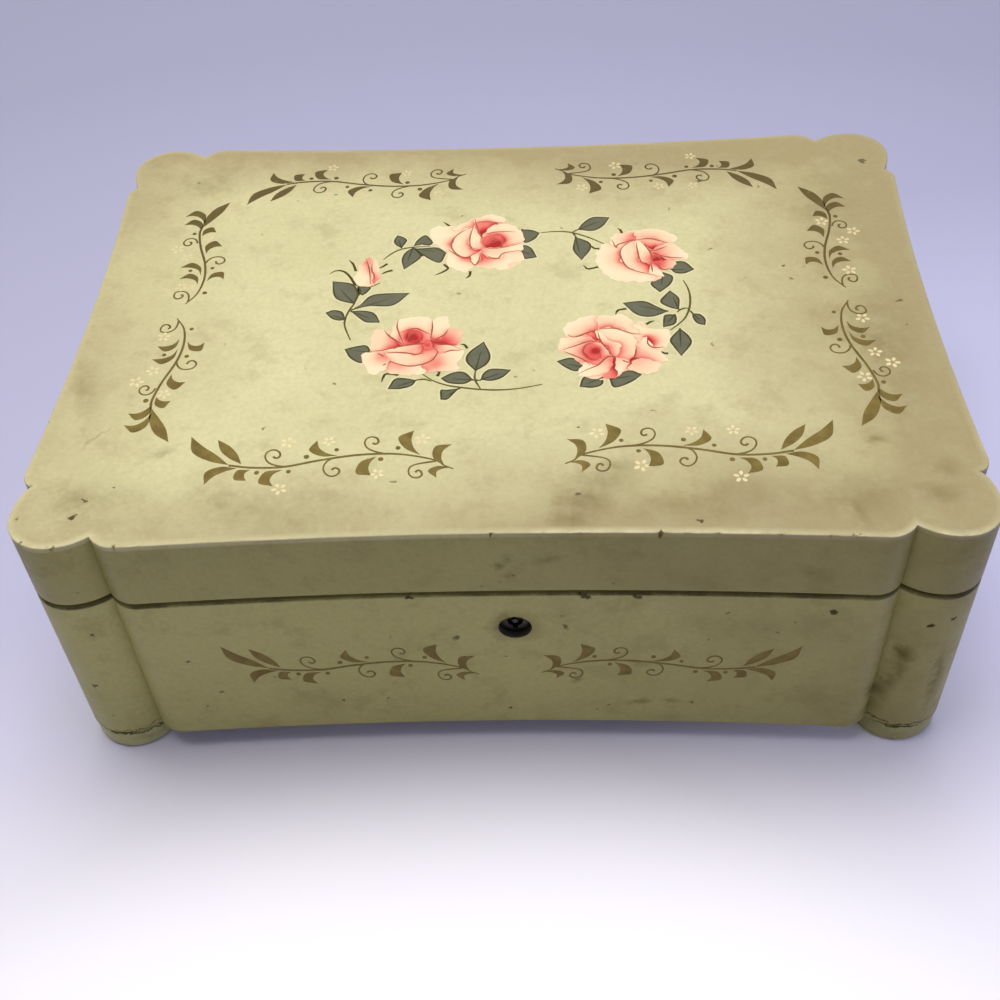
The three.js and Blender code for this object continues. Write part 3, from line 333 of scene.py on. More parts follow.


# Aged lacquer: a sprayed cream-green nitro lacquer on wood. It has yellowed, carries brown stains and specks,
# and is worn and chipped at the rims. A top darkens towards its edges, its right and its rear, partly as
# grime and partly as painted shade; all below the lid's top carries painted shade; the rims are paler with
# wear and a painted highlight, and the case's rim at the parting is darkened as painted shade. IOR 1.5,
# satin. Its clouds are 90 mm wide, its mottling 14 mm, its specks 5 mm apart, and its grain 1.5 mm, coarser
# than the real one so that it shows.
def marks(tree, where, listed, softness):
    """The strongest of several oval marks at a place: centre, half sizes, turn about Z, strength."""
    strongest = None
    for (x, y, z), (rx, ry, rz), turn, strength in listed:
        local = add(tree, "Mapping",
                    {"Vector": where, "Location": (x * MM, y * MM, z * MM),
                     "Rotation": (0, 0, math.radians(turn)), "Scale": (rx * MM, ry * MM, rz * MM)},
                    vector_type="TEXTURE")
        away = add(tree, "VectorMath", {0: local}, operation="LENGTH")
        here = add(tree, "MapRange", {0: away, 1: 1.0, 2: 1.0 - softness, 4: strength})
        if strongest is not None:
            here = add(tree, "Math", {0: strongest, 1: here}, operation="MAXIMUM")
        strongest = here
    return strongest


def tinted(tree, under, pattern, low, high, over, share=1.0):
    """A colour with another over it where a pattern passes from low to high, up to a share."""
    cover = add(tree, "MapRange", {0: pattern, 1: low, 2: high, 4: share})
    return add(tree, "Mix", {0: cover, 6: under, 7: linear(over)}, data_type="RGBA")


def upright_marks(depth, listed):
    """Marks on upright faces, each from its place, its half width and half height, and its strength."""
    return [((x, y, z), (rx, depth, rz), 0, strength) for x, y, z, rx, rz, strength in listed]


per_half_footprint = (1 / 0.14, 1 / 0.1014, 0.0)


def aged_lacquer(name, rim_reach, side_shade_tint, painted_rim_tone, stains, nicks):
    """The lacquer with its stains and nicks; rim_reach is the share at which grime and painted shade begin on
    a top. The side tint is painted shade on all below the lid's top; the edge tone is painted shade along the
    case's parting and a painted highlight on the lid's rims.
    """
    material, tree = new_material(name)
    place = add(tree, "TexCoord").outputs["Object"]
    cloudy = add(tree, "TexNoise", {"Vector": place, "Scale": 11.0, "Detail": 5.0, "Roughness": 0.62})
    mottled = add(tree, "TexNoise", {"Vector": place, "Scale": 70.0, "Detail": 7.0, "Roughness": 0.7})
    fine = add(tree, "TexNoise", {"Vector": place, "Scale": 650.0, "Detail": 3.0})
    shift = add(tree, "VectorMath", {0: mottled.outputs["Color"], 1: (0.5, 0.5, 0.5)}, operation="SUBTRACT")
    shift = add(tree, "VectorMath", {0: shift, "Scale": 0.012}, operation="SCALE")
    ragged = add(tree, "VectorMath", {0: place, 1: shift}, operation="ADD")

    # Grime and painted shade together: a top darkens towards its rims, its right and its rear, partly from
    # dirt and partly as painted falloff of the light on the lid.
    across = add(tree, "VectorMath", {0: place, 1: per_half_footprint}, operation="MULTIPLY")
    across = add(tree, "VectorMath", {0: across}, operation="ABSOLUTE")
    parts = add(tree, "SeparateXYZ", {0: across})
    rim = add(tree, "Math", {0: parts.outputs["X"], 1: parts.outputs["Y"]}, operation="MAXIMUM")
    cloud_push = add(tree, "MapRange", {0: cloudy, 1: 0.3, 2: 0.7, 3: -0.2, 4: 0.2})
    rim = add(tree, "Math", {0: rim, 1: cloud_push}, operation="ADD")
    side = add(tree, "SeparateXYZ", {0: place})
    rightward_grime_and_shade = add(tree, "MapRange", {0: side.outputs["X"], 1: -0.14, 2: 0.14, 3: -0.08, 4: 0.32})
    rim = add(tree, "Math", {0: rim, 1: rightward_grime_and_shade}, operation="ADD")
    rearward = add(tree, "MapRange", {0: side.outputs["Y"], 1: 0.0, 2: 0.1, 4: 0.12})
    rim = add(tree, "Math", {0: rim, 1: rearward}, operation="ADD")
    upright = add(tree, "MapRange", {0: side.outputs["Z"], 1: 0.1, 2: 0.0985})
    reach = add(tree, "MapRange", {0: upright, 1: 0.0, 2: 1.0, 3: rim_reach, 4: 1.1})
    past = add(tree, "Math", {0: rim, 1: reach}, operation="SUBTRACT")
    grime_and_shade = add(tree, "MapRange", {0: past, 1: 0.0, 2: 0.5})
    grime_and_shade = add(tree, "Math",
                {0: add(tree, "MapRange", {0: mottled, 1: 0.36, 2: 0.6, 3: 0.75, 4: 1.1}), 1: grime_and_shade},
                operation="MULTIPLY", use_clamp=True)

    clean = tinted(tree, linear("#cfca98"), cloudy, 0.35, 0.65, "#d9d4a3")
    soiled_and_shaded = tinted(tree, linear("#988a62"), mottled, 0.35, 0.65, "#ada075")
    colour = add(tree, "Mix", {0: grime_and_shade, 6: clean, 7: soiled_and_shaded}, data_type="RGBA")
    colour = tinted(tree, colour, mottled, 0.52, 0.66, "#8d7c4f", 0.24)
    colour = tinted(tree, colour, fine, 0.35, 0.65, "#8a7c50", 0.12)

    specks = add(tree, "TexVoronoi", {"Vector": ragged, "Scale": 210.0})
    lone = add(tree, "SeparateXYZ", {0: specks.outputs["Color"]})
    rare = add(tree, "MapRange", {0: lone.outputs["X"], 1: 0.94, 2: 0.945})
    small = add(tree, "MapRange", {0: specks, 1: 0.16, 2: 0.08})
    speck = add(tree, "Math", {0: rare, 1: small}, operation="MULTIPLY")
    colour = add(tree, "Mix", {0: speck, 6: colour, 7: linear("#80703f")}, data_type="RGBA")

    stain = marks(tree, ragged, stains, 0.9)
    broken = add(tree, "MapRange", {0: mottled, 1: 0.36, 2: 0.6, 3: 0.45})
    stain = add(tree, "Math", {0: stain, 1: broken}, operation="MULTIPLY")
    colour = add(tree, "Mix", {0: stain, 6: colour, 7: linear("#645522")}, data_type="RGBA")
    nick = marks(tree, ragged, nicks, 0.35)
    colour = add(tree, "Mix", {0: nick, 6: colour, 7: linear("#3b3106")}, data_type="RGBA")

    # The rounded rims: paler with wear and a painted highlight, and at the case's rim by the parting darkened
    # as painted shade.
    edge = add(tree, "Attribute", attribute_name="edge")
    worn = add(tree, "Math", {0: edge.outputs["Fac"], 1: add(tree, "MapRange", {0: cloudy, 1: 0.3, 2: 0.6})},
               operation="MULTIPLY")
    handled = add(tree, "MapRange", {0: side.outputs["Y"], 1: -0.06, 2: -0.098, 3: 0.4})
    handled = add(tree, "Math",
                  {0: handled, 1: add(tree, "MapRange", {0: mottled, 1: 0.38, 2: 0.55, 3: 0.35})},
                  operation="MULTIPLY")
    worn = add(tree, "Math", {0: worn, 1: handled}, operation="MULTIPLY")
    at_parting = add(tree, "MapRange", {0: side.outputs["Z"], 1: 0.06, 2: 0.07})
    colour = add(tree, "Mix",
                 {0: worn, 6: colour,
                  7: add(tree, "Mix", {0: at_parting, 6: linear("#ddd5a2"), 7: linear(painted_rim_tone)},
                         data_type="RGBA")}, data_type="RGBA")
    chip = add(tree, "Attribute", attribute_name="chip")
    gouge = add(tree, "Math", {0: chip.outputs["Fac"], 1: mottled}, operation="MULTIPLY")
    wood = tinted(tree, linear("#4c4020"), fine, 0.4, 0.6, "#8c7c4c")
    bare = add(tree, "MapRange", {0: gouge, 1: 0.24, 2: 0.34})
    colour = add(tree, "Mix", {0: bare, 6: colour, 7: wood}, data_type="RGBA")

    # Painted shade: everything below the lid's top is multiplied by the side tint.
    colour = add(tree, "Mix", {0: upright, 6: colour, 7: linear(side_shade_tint)}, data_type="RGBA",
                 blend_type="MULTIPLY")

    gloss = add(tree, "MapRange", {0: mottled, 1: 0.3, 2: 0.7, 3: 0.36, 4: 0.52})
    dull = add(tree, "Math", {0: grime_and_shade, 1: 0.12, 2: gloss}, operation="MULTIPLY_ADD")
    height = add(tree, "Math", {0: mottled, 1: 0.6, 2: fine}, operation="MULTIPLY_ADD")
    height = add(tree, "Math", {0: bare, 1: -2.5, 2: height}, operation="MULTIPLY_ADD")
    bump = add(tree, "Bump", {"Height": height, "Strength": 0.35, "Distance": 0.00008})
    marked = add(tree, "Math", {0: stain, 1: nick}, operation="MAXIMUM")
    marked = add(tree, "Math", {0: marked, 1: bare}, operation="MAXIMUM")
    rough = add(tree, "Math", {0: marked, 1: 0.4, 2: dull}, operation="MULTIPLY_ADD", use_clamp=True)
    shader = add(tree, "BsdfPrincipled",
                 {"Base Color": colour, "Roughness": rough, "Normal": bump, "IOR": 1.5,
                  "Specular IOR Level": 0.32})
    add(tree, "OutputMaterial", {"Surface": shader})
    return material


# Stains and nicks of the case: its front face, its parting edge and its posts.
front_y = -99.2
case_stains = upright_marks(9, [
    (21.5, front_y, 31.3, 3.2, 2.6, 0.8), (41.9, front_y, 19.5, 5, 2.2, 0.75),
    (52, front_y, 20.3, 5, 1.8, 0.5), (43.5, front_y, 41, 6, 3, 0.3),
]) + upright_marks(12, [
    (120.6, -103, 46, 4.2, 5.5, 1.0), (119.4, -103, 39, 3.6, 9, 1.0), (117.4, -102, 31, 4.4, 8, 1.0),
    (116, -101, 24, 4.6, 9, 1.0), (115, -101, 16, 4, 7, 0.8), (132, -102, 34, 2.6, 18, 0.75),
]) + upright_marks(9, [
    (-60, front_y, 24, 18, 10, 0.16), (80, front_y, 60, 30, 9, 0.16), (3.5, front_y, 58.2, 9.4, 8.8, 1.0),
])
case_nicks = upright_marks(5, [
    (24, front_y, 73.2, 2.6, 1.3, 0.9), (-27, front_y, 73.3, 2.2, 1, 0.9),
    (40.4, front_y, 72.8, 1.9, 1.2, 0.85), (97.5, -101.8, 68.3, 1.9, 1.4, 0.9),
    (18.9, front_y, 58.8, 1, 1.2, 0.7), (-14.2, front_y, 52.9, 1, 1.2, 0.7),
    (1.2, front_y, 16.6, 0.9, 1.1, 0.7), (125.4, -103.6, 61.3, 1.3, 1.5, 0.95),
    (131.7, -103, 63.7, 1, 1.5, 0.95), (-122.3, -103, 61.1, 0.9, 0.9, 0.8), (-130, -102, 34, 0.9, 1.1, 0.7),
    (-98.8, -101.8, 47.6, 1, 0.7, 0.8), (58.5, front_y, 19.6, 0.9, 1.5, 0.6),
    (-90.4, -101.4, 29.3, 1.1, 0.8, 0.6), (37.2, 98, 1.5, 1.9, 1.5, 0.7), (-85, 100, 30, 1.2, 1.5, 0.7),
]) + [
    ((86.2, 20, 1.5), (3.1, 3, 1.5), 0, 0.7), ((-139, -30, 28), (3.1, 2, 1.5), 0, 0.7),
    ((127, -92, 10.2), (19, 19, 0.6), 0, 0.8), ((-127, -92, 10.2), (19, 19, 0.5), 0, 0.6),
]
# The case's side tint is painted shade, and its dark edge tone is painted shade in the parting gap.
case_lacquer = aged_lacquer("aged_lacquer_case", 1.1, "#cdcba4", "#463f22", case_stains, case_nicks)

# Bare wood: the sawn inside faces of walls and rails, a close-grained plywood, oiled by age. Its grain is
# 17 mm long and 1 mm wide, about three times the real width so that it shows.
bare_wood, tree = new_material("bare_birch_ply")
place = add(tree, "TexCoord").outputs["Object"]
stretched = add(tree, "Mapping", {"Vector": place, "Scale": (60, 900, 900)})
grain = add(tree, "TexNoise", {"Vector": stretched, "Scale": 1.0, "Detail": 6.0})
tone = add(tree, "Mix", {0: grain, 6: linear("#8a6a42"), 7: linear("#c7a572")}, data_type="RGBA")
bump = add(tree, "Bump", {"Height": grain, "Strength": 0.4, "Distance": 0.0001})
shader = add(tree, "BsdfPrincipled", {"Base Color": tone, "Roughness": 0.72, "Normal": bump})
add(tree, "OutputMaterial", {"Surface": shader})


def edge_rounding(z0, z1, round_low, round_high):
    """Levels of a slab as height, inset and share of edge, from its underside to its top."""
    steps = 6
    turns = [math.pi / 2 * i / steps for i in range(steps + 1)]
    low = [(z0 + round_low * (1 - math.cos(t)), round_low * (1 - math.sin(t)), math.sin(2 * t))
           for t in turns]
    high = [(z1 - round_high * (1 - math.sin(t)), round_high * (1 - math.cos(t)), math.sin(2 * t))
            for t in turns]
    return (low if round_low else [(z0, 0, 0)]) + (high if round_high else [(z1, 0, 0)])


def slab(name, outer, inner, z0, z1, lacquer, round_low, round_high, chips=()):
    """A piece of the outline, flat inside, with its outer edges rounded and its chips broken out."""
    flat_margin = 2.0
    levels = edge_rounding(z0, z1, round_low, round_high)
    levels = [(z0, round_low + flat_margin, 0.0)] + levels + [(z1, round_high + flat_margin, 0.0)]
    # The ring where the rounding meets the flat top takes half the edge share, so the pale rim, with its
    # painted highlight, reaches onto the flat margin.
    levels[-2] = levels[-2][:2] + (0.5 if round_high else 0.0,)
    points, edges, broken = [], [], []
    for step, (z, inset, edge) in enumerate(levels):
        flat = step in (0, len(levels) - 1)
        for (x, y), (nx, ny) in outer:
            depth = 0.0
            for cx, cy, length, deepest in chips:
                away = math.dist((x, y + centre_y), (cx, cy)) / (length / 2)
                if away < 1 and z > (z0 + z1) / 2:
                    ragged = 0.6 + 0.9 * noise.noise(Vector((x * 0.9, y * 0.9, z * 1.7)))
                    depth = max(depth, deepest * (1 - away ** 2) * ragged)
            sunk = 0.0 if flat else depth / 2
            points.append((x + nx * (inset + depth), y + ny * (inset + depth) + centre_y, z - sunk))
            edges.append(edge)
            broken.append(0.0 if flat else min(1.0, 2 * depth))
        points += [(x, y + centre_y, z) for x, y in inner]
        edges += [0.0] * len(inner)
        broken += [0.0] * len(inner)
    count = len(outer) + len(inner)
    closed = not inner
    faces, inside = [tuple(range(count))[::-1]], [False]
    for k in range(len(levels) - 1):
        for i in range(count):
            j = (i + 1) % count
            hidden = not closed and i >= len(outer) - 1
            at_cap = k in (0, len(levels) - 2)
            if hidden and at_cap:
                if i in (len(outer) - 1, count - 1):
                    a, b = (i, j) if i == len(outer) - 1 else (j, i)
                    low, high = k * count, (k + 1) * count
                    triangle = (low + a, low + b, high + a)
                    faces.append(triangle if i == len(outer) - 1 else triangle[::-1])
                    inside.append(False)
                continue
            faces.append((k * count + i, k * count + j, (k + 1) * count + j, (k + 1) * count + i))
            inside.append(hidden)
    faces.append(tuple(range(count * (len(levels) - 1), count * len(levels))))
    inside.append(False)
    piece = mesh_piece(name, points, faces, lacquer, smooth_angle=35)
    piece.data.materials.append(bare_wood)
    for face, hidden in zip(piece.data.polygons, inside):
        face.material_index = int(hidden)
    for face in (piece.data.polygons[0], piece.data.polygons[len(faces) - 1]):
        face.use_smooth = False
    for attribute, values in (("edge", edges), ("chip", broken)):
        piece.data.attributes.new(attribute, "FLOAT", "POINT").data.foreach_set("value", values)
    shell = bmesh.new()
    shell.from_mesh(piece.data)
    bmesh.ops.remove_doubles(shell, verts=shell.verts, dist=1e-7)
    shell.to_mesh(piece.data)
    shell.free()
    return piece


# Case panels and posts
# Four walls hollowed along their length, glued between the posts. The front one has the round keyhole,
# whose rim is worn, and the lock's pocket inside.
panel_low, panel_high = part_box("rear_panel")
case_bottom, case_top = panel_low.z / MM, panel_high.z / MM
wall_rounding = 0.8
lock_low, lock_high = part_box("lock_case")
rotor_low, rotor_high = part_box("lock_rotor")
keyhole_x = (rotor_low.x + rotor_high.x) / 2 / MM
keyhole_z = (rotor_low.z + rotor_high.z) / 2 / MM
keyhole_radius = 4.9
pocket_play = 0.3
notch_x, notch_y = notch_front[0], notch_side[1]

panels = {}
for side, inner in (
    ("front", [(notch_x, -inner_y), (-notch_x, -inner_y)]),
    ("rear", [(-notch_x, inner_y), (notch_x, inner_y)]),
    ("right", [(inner_x, notch_y), (inner_x, -notch_y)]),
    ("left", [(-inner_x, -notch_y), (-inner_x, notch_y)]),
):
    panels[side] = slab(f"{side}_wall", run_of(side), inner, case_bottom, case_top, case_lacquer,
                        wall_rounding, wall_rounding)
    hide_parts(f"{side}_panel")
    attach(panels[side], "case")

for corner, inner in (
    ("rear_right", [(notch_x, inner_y), (inner_x, inner_y), (inner_x, notch_y)]),
    ("rear_left", [(-inner_x, notch_y), (-inner_x, inner_y), (-notch_x, inner_y)]),
    ("front_left", [(-notch_x, -inner_y), (-inner_x, -inner_y), (-inner_x, -notch_y)]),
    ("front_right", [(inner_x, -notch_y), (inner_x, -inner_y), (notch_x, -inner_y)]),
):
    post = slab(f"post_{corner}", run_of(f"post_{corner}"), inner, case_bottom, case_top, case_lacquer,
                wall_rounding, wall_rounding)
    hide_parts(f"corner_post_{corner}")
    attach(post, "case")


def hollowed_y(x):
    """The front face's level at a place along it, in the object's frame."""
    half = notch_x - wall_ease_front
    radius = (half * half + hollow_front * hollow_front) / (2 * hollow_front)
    sunk = hollow_front - radius + math.sqrt(radius * radius - x * x)
    return centre_y - half_depth + sunk


def turned_bar(name, profile, x, z, material):
    """A closed shape turned round an axis along Y, from pairs of level and radius."""
    steps = 48
    points = [(x, profile[0][0], z)]
    for level, radius in profile:
        for i in range(steps):
            angle = 2 * math.pi * i / steps
            points.append((x + radius * math.cos(angle), level, z + radius * math.sin(angle)))
    points.append((x, profile[-1][0], z))
    faces = []
    for i in range(steps):
        j = (i + 1) % steps
        faces.append((0, 1 + i, 1 + j))
        for k in range(len(profile) - 1):
            a, b = 1 + k * steps, 1 + (k + 1) * steps
            faces.append((a + i, b + i, b + j, a + j))
        a = 1 + (len(profile) - 1) * steps
        faces.append((a + i, len(points) - 1, a + j))
    return mesh_piece(name, points, faces, material)


def plain_block(name, low, high, material):
    """A block between two corners."""
    (x0, y0, z0), (x1, y1, z1) = low, high
    points = [(x, y, z) for z in (z0, z1) for y in (y0, y1) for x in (x0, x1)]
    faces = [(0, 2, 3, 1), (4, 5, 7, 6), (0, 1, 5, 4), (2, 6, 7, 3), (0, 4, 6, 2), (1, 3, 7, 5)]
    return mesh_piece(name, points, faces, material)


def cut_out(piece, cutters):
    """The piece with each cutter taken out of it; the cutters are used up."""
    for cutter in cutters:
        modifier = piece.modifiers.new("cut", "BOOLEAN")
        modifier.operation = "DIFFERENCE"
        modifier.solver = "EXACT"
        modifier.material_mode = "TRANSFER"
        modifier.object = cutter
    graph = bpy.context.evaluated_depsgraph_get()
    mesh = bpy.data.meshes.new_from_object(piece.evaluated_get(graph))
    piece.modifiers.clear()
    old = piece.data
    piece.data = mesh
    bpy.data.meshes.remove(old)
    for cutter in cutters:
        bpy.data.objects.remove(cutter)


face_y = hollowed_y(keyhole_x)
worn_flare, flare_depth = 0.2, 0.5
# The keyhole's bore is coloured near-black brown: painted shade inside the hole.
shaded_bore, tree = new_material("keyhole_bore_shade")
shader = add(tree, "BsdfPrincipled", {"Base Color": linear("#2b2513"), "Roughness": 0.8})
add(tree, "OutputMaterial", {"Surface": shader})
bore_profile = [(face_y - 3, keyhole_radius + worn_flare + 1.2), (face_y - 0.2, keyhole_radius + worn_flare),
                (face_y + 0.2, keyhole_radius + 0.1), (face_y + flare_depth, keyhole_radius),
                (face_y + 12, keyhole_radius)]
bore = turned_bar("keyhole_bore", bore_profile, keyhole_x, keyhole_z, shaded_bore)
pocket = plain_block(
    "lock_pocket",
    (lock_low.x / MM - pocket_play, lock_low.y / MM - pocket_play, lock_low.z / MM - pocket_play),
    (lock_high.x / MM + pocket_play, centre_y - inner_y + 1, case_top + 1), bare_wood,
)
cut_out(panels["front"], [bore, pocket])

# Feet
# Turned discs of the same wood under the posts, glued with a fine seam that has gathered dirt. They are
# paler and cleaner than the walls, their paler tone a lighter painted shade than the walls'.
foot_edge, foot_top_ease = 1.6, 0.9
foot_stains = [((115, -100, 6), (9, 9, 3), 0, 0.4), ((-118, -102, 5), (9, 9, 3), 0, 0.35)]
foot_nicks = [((0, 0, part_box("foot_front_right")[1].z / MM), (500, 500, 0.6), 0, 0.8)]
# The feet's side tint is a lighter painted shade than the walls'.
foot_lacquer = aged_lacquer("aged_lacquer_feet", 1.5, "#dcdfc6", "#463f22", foot_stains, foot_nicks)


def lathe(name, profile, centre, material, steps=64):
    """A closed shape turned round a vertical axis, from pairs of radius and height, inside first."""
    points, faces = [], []
    for radius, z in profile:
        for i in range(steps):
            angle = 2 * math.pi * i / steps
            points.append((centre[0] + radius * math.cos(angle), centre[1] + radius * math.sin(angle), z))
    for k in range(len(profile) - 1):
        a, b = k * steps, (k + 1) * steps
        for i in range(steps):
            j = (i + 1) % steps
            faces.append((a + i, a + j, b + j, b + i))
    faces.append(tuple(range(steps))[::-1])
    faces.append(tuple(range(len(points) - steps, len(points))))
    return mesh_piece(name, points, faces, material, smooth_angle=40)


for corner in ("front_left", "front_right", "rear_left", "rear_right"):
    low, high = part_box(f"foot_{corner}")
    radius = (high.x - low.x) / 2 / MM
    height = high.z / MM
    turns = [math.pi / 2 * i / 6 for i in range(7)]
    profile = [(radius - foot_edge * (1 - math.sin(t)), foot_edge * (1 - math.cos(t))) for t in turns]
    profile += [(radius - foot_top_ease * (1 - math.cos(t)), height - foot_top_ease * (1 - math.sin(t)))
                for t in turns]
    middle = ((low.x + high.x) / 2 / MM, (low.y + high.y) / 2 / MM)
    foot = lathe(f"disc_foot_{corner}", profile, middle, foot_lacquer)
    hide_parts(f"foot_{corner}")
    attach(foot, "case")

# Lid
# A board on a frame of four rails, glued and sanded flush, lacquered as the case. Its top lies a tenth of
# a millimetre low, which leaves room for the painted ornament inside the real height.
paint_room = 0.1
rail_low, rail_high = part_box("lid_front_rail")
lid_bottom, board_bottom = rail_low.z / MM, rail_high.z / MM
lid_top = board_high.z / MM - paint_room
mark_level, mark_depth = 100, 6


def top_marks(listed):
    """Marks on the lid's top, each from its place, its half sizes, its turn in degrees and its strength."""
    return [((x, y, mark_level), (rx, ry, mark_depth), turn, strength)
            for x, y, rx, ry, turn, strength in listed]


lid_stains = top_marks([
    (25, -86, 12, 10, 20, 0.6), (21.7, -93, 9, 7, 0, 0.55), (31, -80, 15, 9, 0, 0.5),
    (34, -74, 9, 5, 0, 0.35), (101, -91, 3.4, 10, 12, 0.5), (98.1, -80.7, 3, 6, 10, 0.35),
    (103, -86, 14, 14, 0, 0.35), (62, -92, 4, 2, 0, 0.5), (110.7, -64.8, 4, 3, 0, 0.5),
    (123.7, -85, 9, 5, 0, 0.4), (128, -77, 5, 4, 0, 0.35), (-99.7, -63.8, 5, 2.2, 30, 0.45),
    (-116, -84, 20, 13, 0, 0.42), (120, -20, 14, 40, 0, 0.34), (-128, -40, 6, 22, 12, 0.3),
    (-122, -58, 0.9, 9, -38, 0.5), (112, 60, 14, 22, 0, 0.25), (60, -88, 50, 9, 0, 0.22),
    (-75, -89, 55, 12, 0, 0.32), (-110, 78, 22, 14, 0, 0.35),
]) + upright_marks(9, [
    (-0.6, -100, 87.4, 3, 2.4, 0.8), (1.6, -100, 91, 2.2, 3, 0.5), (14, -100, 90, 6, 3, 0.5),
    (3, -100, 82, 2.4, 3, 0.35), (88, -100, 84, 10, 3, 0.25),
])
lid_nicks = top_marks([
    (-120.4, -90.5, 1.2, 0.8, 30, 0.9), (-119, -84, 0.8, 0.7, 0, 0.85), (-113, -79, 0.7, 0.6, 0, 0.8),
    (92.6, 19.8, 0.9, 0.7, 0, 0.8), (70.4, 71.6, 0.8, 0.7, 0, 0.8), (-62.5, 67.9, 0.8, 0.6, 0, 0.7),
    (128.6, -0.3, 1.2, 0.8, 0, 0.7), (129.5, 81.9, 2.2, 1, -30, 0.7), (57.5, -95.3, 1.4, 0.8, 0, 0.8),
    (22, -84, 1.3, 1, 0, 0.7), (-31, -78, 0.9, 0.6, 0, 0.6), (47, -50, 0.7, 0.6, 0, 0.6),
])
# Chips along the lid's rim, where the lacquer broke off: place, length along the edge and depth.
rim_chips = [
    (-133, -99.3, 7, 0.45), (-124.5, -101.6, 6, 0.4), (-117, -100.8, 4, 0.35), (-107.5, -102.6, 4, 0.5),
    (-101.5, -101.8, 5, 0.4), (-30, -98.2, 3, 0.3), (-1.6, -98.9, 2.4, 0.4), (23.3, -99.3, 5, 0.5),
    (45.6, -99.7, 5, 0.45), (52.5, -99.9, 2.4, 0.35), (61, -100.2, 4, 0.4), (78, -100.9, 3, 0.35),
    (92, -101.6, 4, 0.4), (98.3, -102.1, 5, 0.5), (127, -101.9, 7, 0.4), (-137.6, -77.9, 4, 0.4),
    (137, -78.3, 5, 0.4), (-20, 97.2, 4, 0.35), (74, 98.3, 5, 0.4), (133, 96, 6, 0.4), (-136, 94, 5, 0.4),
    (-137.7, 12, 5, 0.35), (137.6, -31, 6, 0.35),
]
# The lid's side tint is painted shade on its sides, and its pale edge tone a painted highlight on its rims.
lid_lacquer = aged_lacquer("aged_lacquer_lid", 0.62, "#b6b289", "#efe8ba", lid_stains, lid_nicks)
board = slab("lid_board", list(zip(outline, outline_inward)), [], board_bottom, lid_top, lid_lacquer,
             0.0, 0.45, rim_chips)
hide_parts("lid_top_board")
rails = {
    "front": (("post_front_left", "front", "post_front_right"),
              [(inner_x, -notch_y), (inner_x, -inner_y), (-inner_x, -inner_y), (-inner_x, -notch_y)]),
    "rear": (("post_rear_right", "rear", "post_rear_left"),
             [(-inner_x, notch_y), (-inner_x, inner_y), (inner_x, inner_y), (inner_x, notch_y)]),
    "right": (("right",), [(inner_x, notch_y), (inner_x, -notch_y)]),
    "left": (("left",), [(-inner_x, -notch_y), (-inner_x, notch_y)]),
}
for side, (runs, inner) in rails.items():
    rail = slab(f"lid_rail_{side}", run_of(*runs), inner, lid_bottom, board_bottom, lid_lacquer, 0.8, 0.0)
    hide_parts(f"lid_{side}_rail")
    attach(rail, "lid")
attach(board, "lid")

# Painted sprays
# Scrolling vines in gold-olive paint and small cream blossoms, put on with a fine brush: each stroke is a
# thin film on the lacquer. Long sprays run along the lid's front and rear and on the case's front, and
# short ones along the lid's sides.
film = 0.05
# A spray's lines and outlines, in millimetres in the lid's rear right quarter, listed as x, y, x, y.
long_spray = {
    "stem": [13.2, 72.8, 15.8, 71.4, 19.1, 68.9, 29.6, 66.3, 41.1, 66.3, 52.4, 68.2, 63, 70.7, 72.3, 70.8,
             79.5, 69.7],
    "curls": [
        [63, 70.6, 65.3, 70.1, 67.4, 69.1, 68.8, 67.3, 69.1, 65.4, 68.4, 64.1, 67, 63.5, 65.6, 64,
         64.7, 65.4, 64.9, 66.6, 65.9, 67, 66.7, 66.3],
        [47, 67, 48.9, 67.5, 50.6, 69, 51.3, 71.2, 50.7, 73.4, 49.2, 74.8, 47.5, 74.7, 46.4, 73.3,
         46.9, 71.9, 48.1, 71.6, 48.7, 72.4],
        [33.8, 66, 36.7, 65, 39.1, 63.4, 40, 61.2, 39.4, 59.4, 37.9, 58.8, 36.4, 59.5, 35.9, 61,
         36.7, 61.9, 37.6, 61.4],
        [18.3, 69.5, 21.7, 70.1, 24.7, 70.9, 26.1, 72.3, 26, 74.5, 24.9, 75.9, 23.3, 76.1, 22.2, 75,
         22.7, 73.5, 23.6, 73.2, 24.2, 74],
    ],
    "leaves": [
        [79.5, 69.5, 83.9, 65.4, 88.6, 61.6, 92.7, 57.2, 91.1, 63.7, 85.6, 67.5],
        [75.8, 69.2, 77.8, 65.1, 80.7, 61.6, 84.4, 58.8, 82.7, 63.2, 79.6, 66.6],
        [76.9, 70.9, 80.5, 72.1, 83.6, 74.2, 85.5, 77.5, 85.8, 72.7, 81.8, 70.4],
        [72.8, 71.7, 76.4, 72, 76.9, 75.4, 73.4, 76.1, 74.4, 74.5, 74.3, 72.8],
        [63.4, 72, 68.1, 72.8, 69.4, 77, 65.2, 78.5, 66.7, 76.1, 65.8, 73.5],
        [47.7, 66.5, 52.4, 66.4, 56.1, 63.8, 54.3, 59.9, 53.5, 63.2, 51, 65.5],
        [36.1, 67.2, 40.3, 69.3, 41.3, 73.8, 37.1, 74.8, 38.2, 72.2, 37.8, 69.4],
        [23.1, 66.9, 27.6, 63.9, 29.8, 59.3, 25.6, 56.4, 26.3, 60.2, 25.4, 63.9],
        [15.8, 71.5, 19.1, 68, 18.6, 63.5, 14, 62.6, 16.6, 65, 17.1, 68.2],
        [13.7, 72.3, 17.7, 71.7, 20.3, 73.5, 17.9, 76.4, 18.2, 73.8, 16.3, 72.5],
    ],
    "berries": [70.7, 72.9, 61.4, 72.7, 56.8, 66.7, 48.1, 64, 34.7, 68.3, 29.9, 63.7],
    "flowers": [63, 60.5, 50.8, 60.4, 22.9, 60.3, 35.3, 74.3, 63.2, 79.7],
}
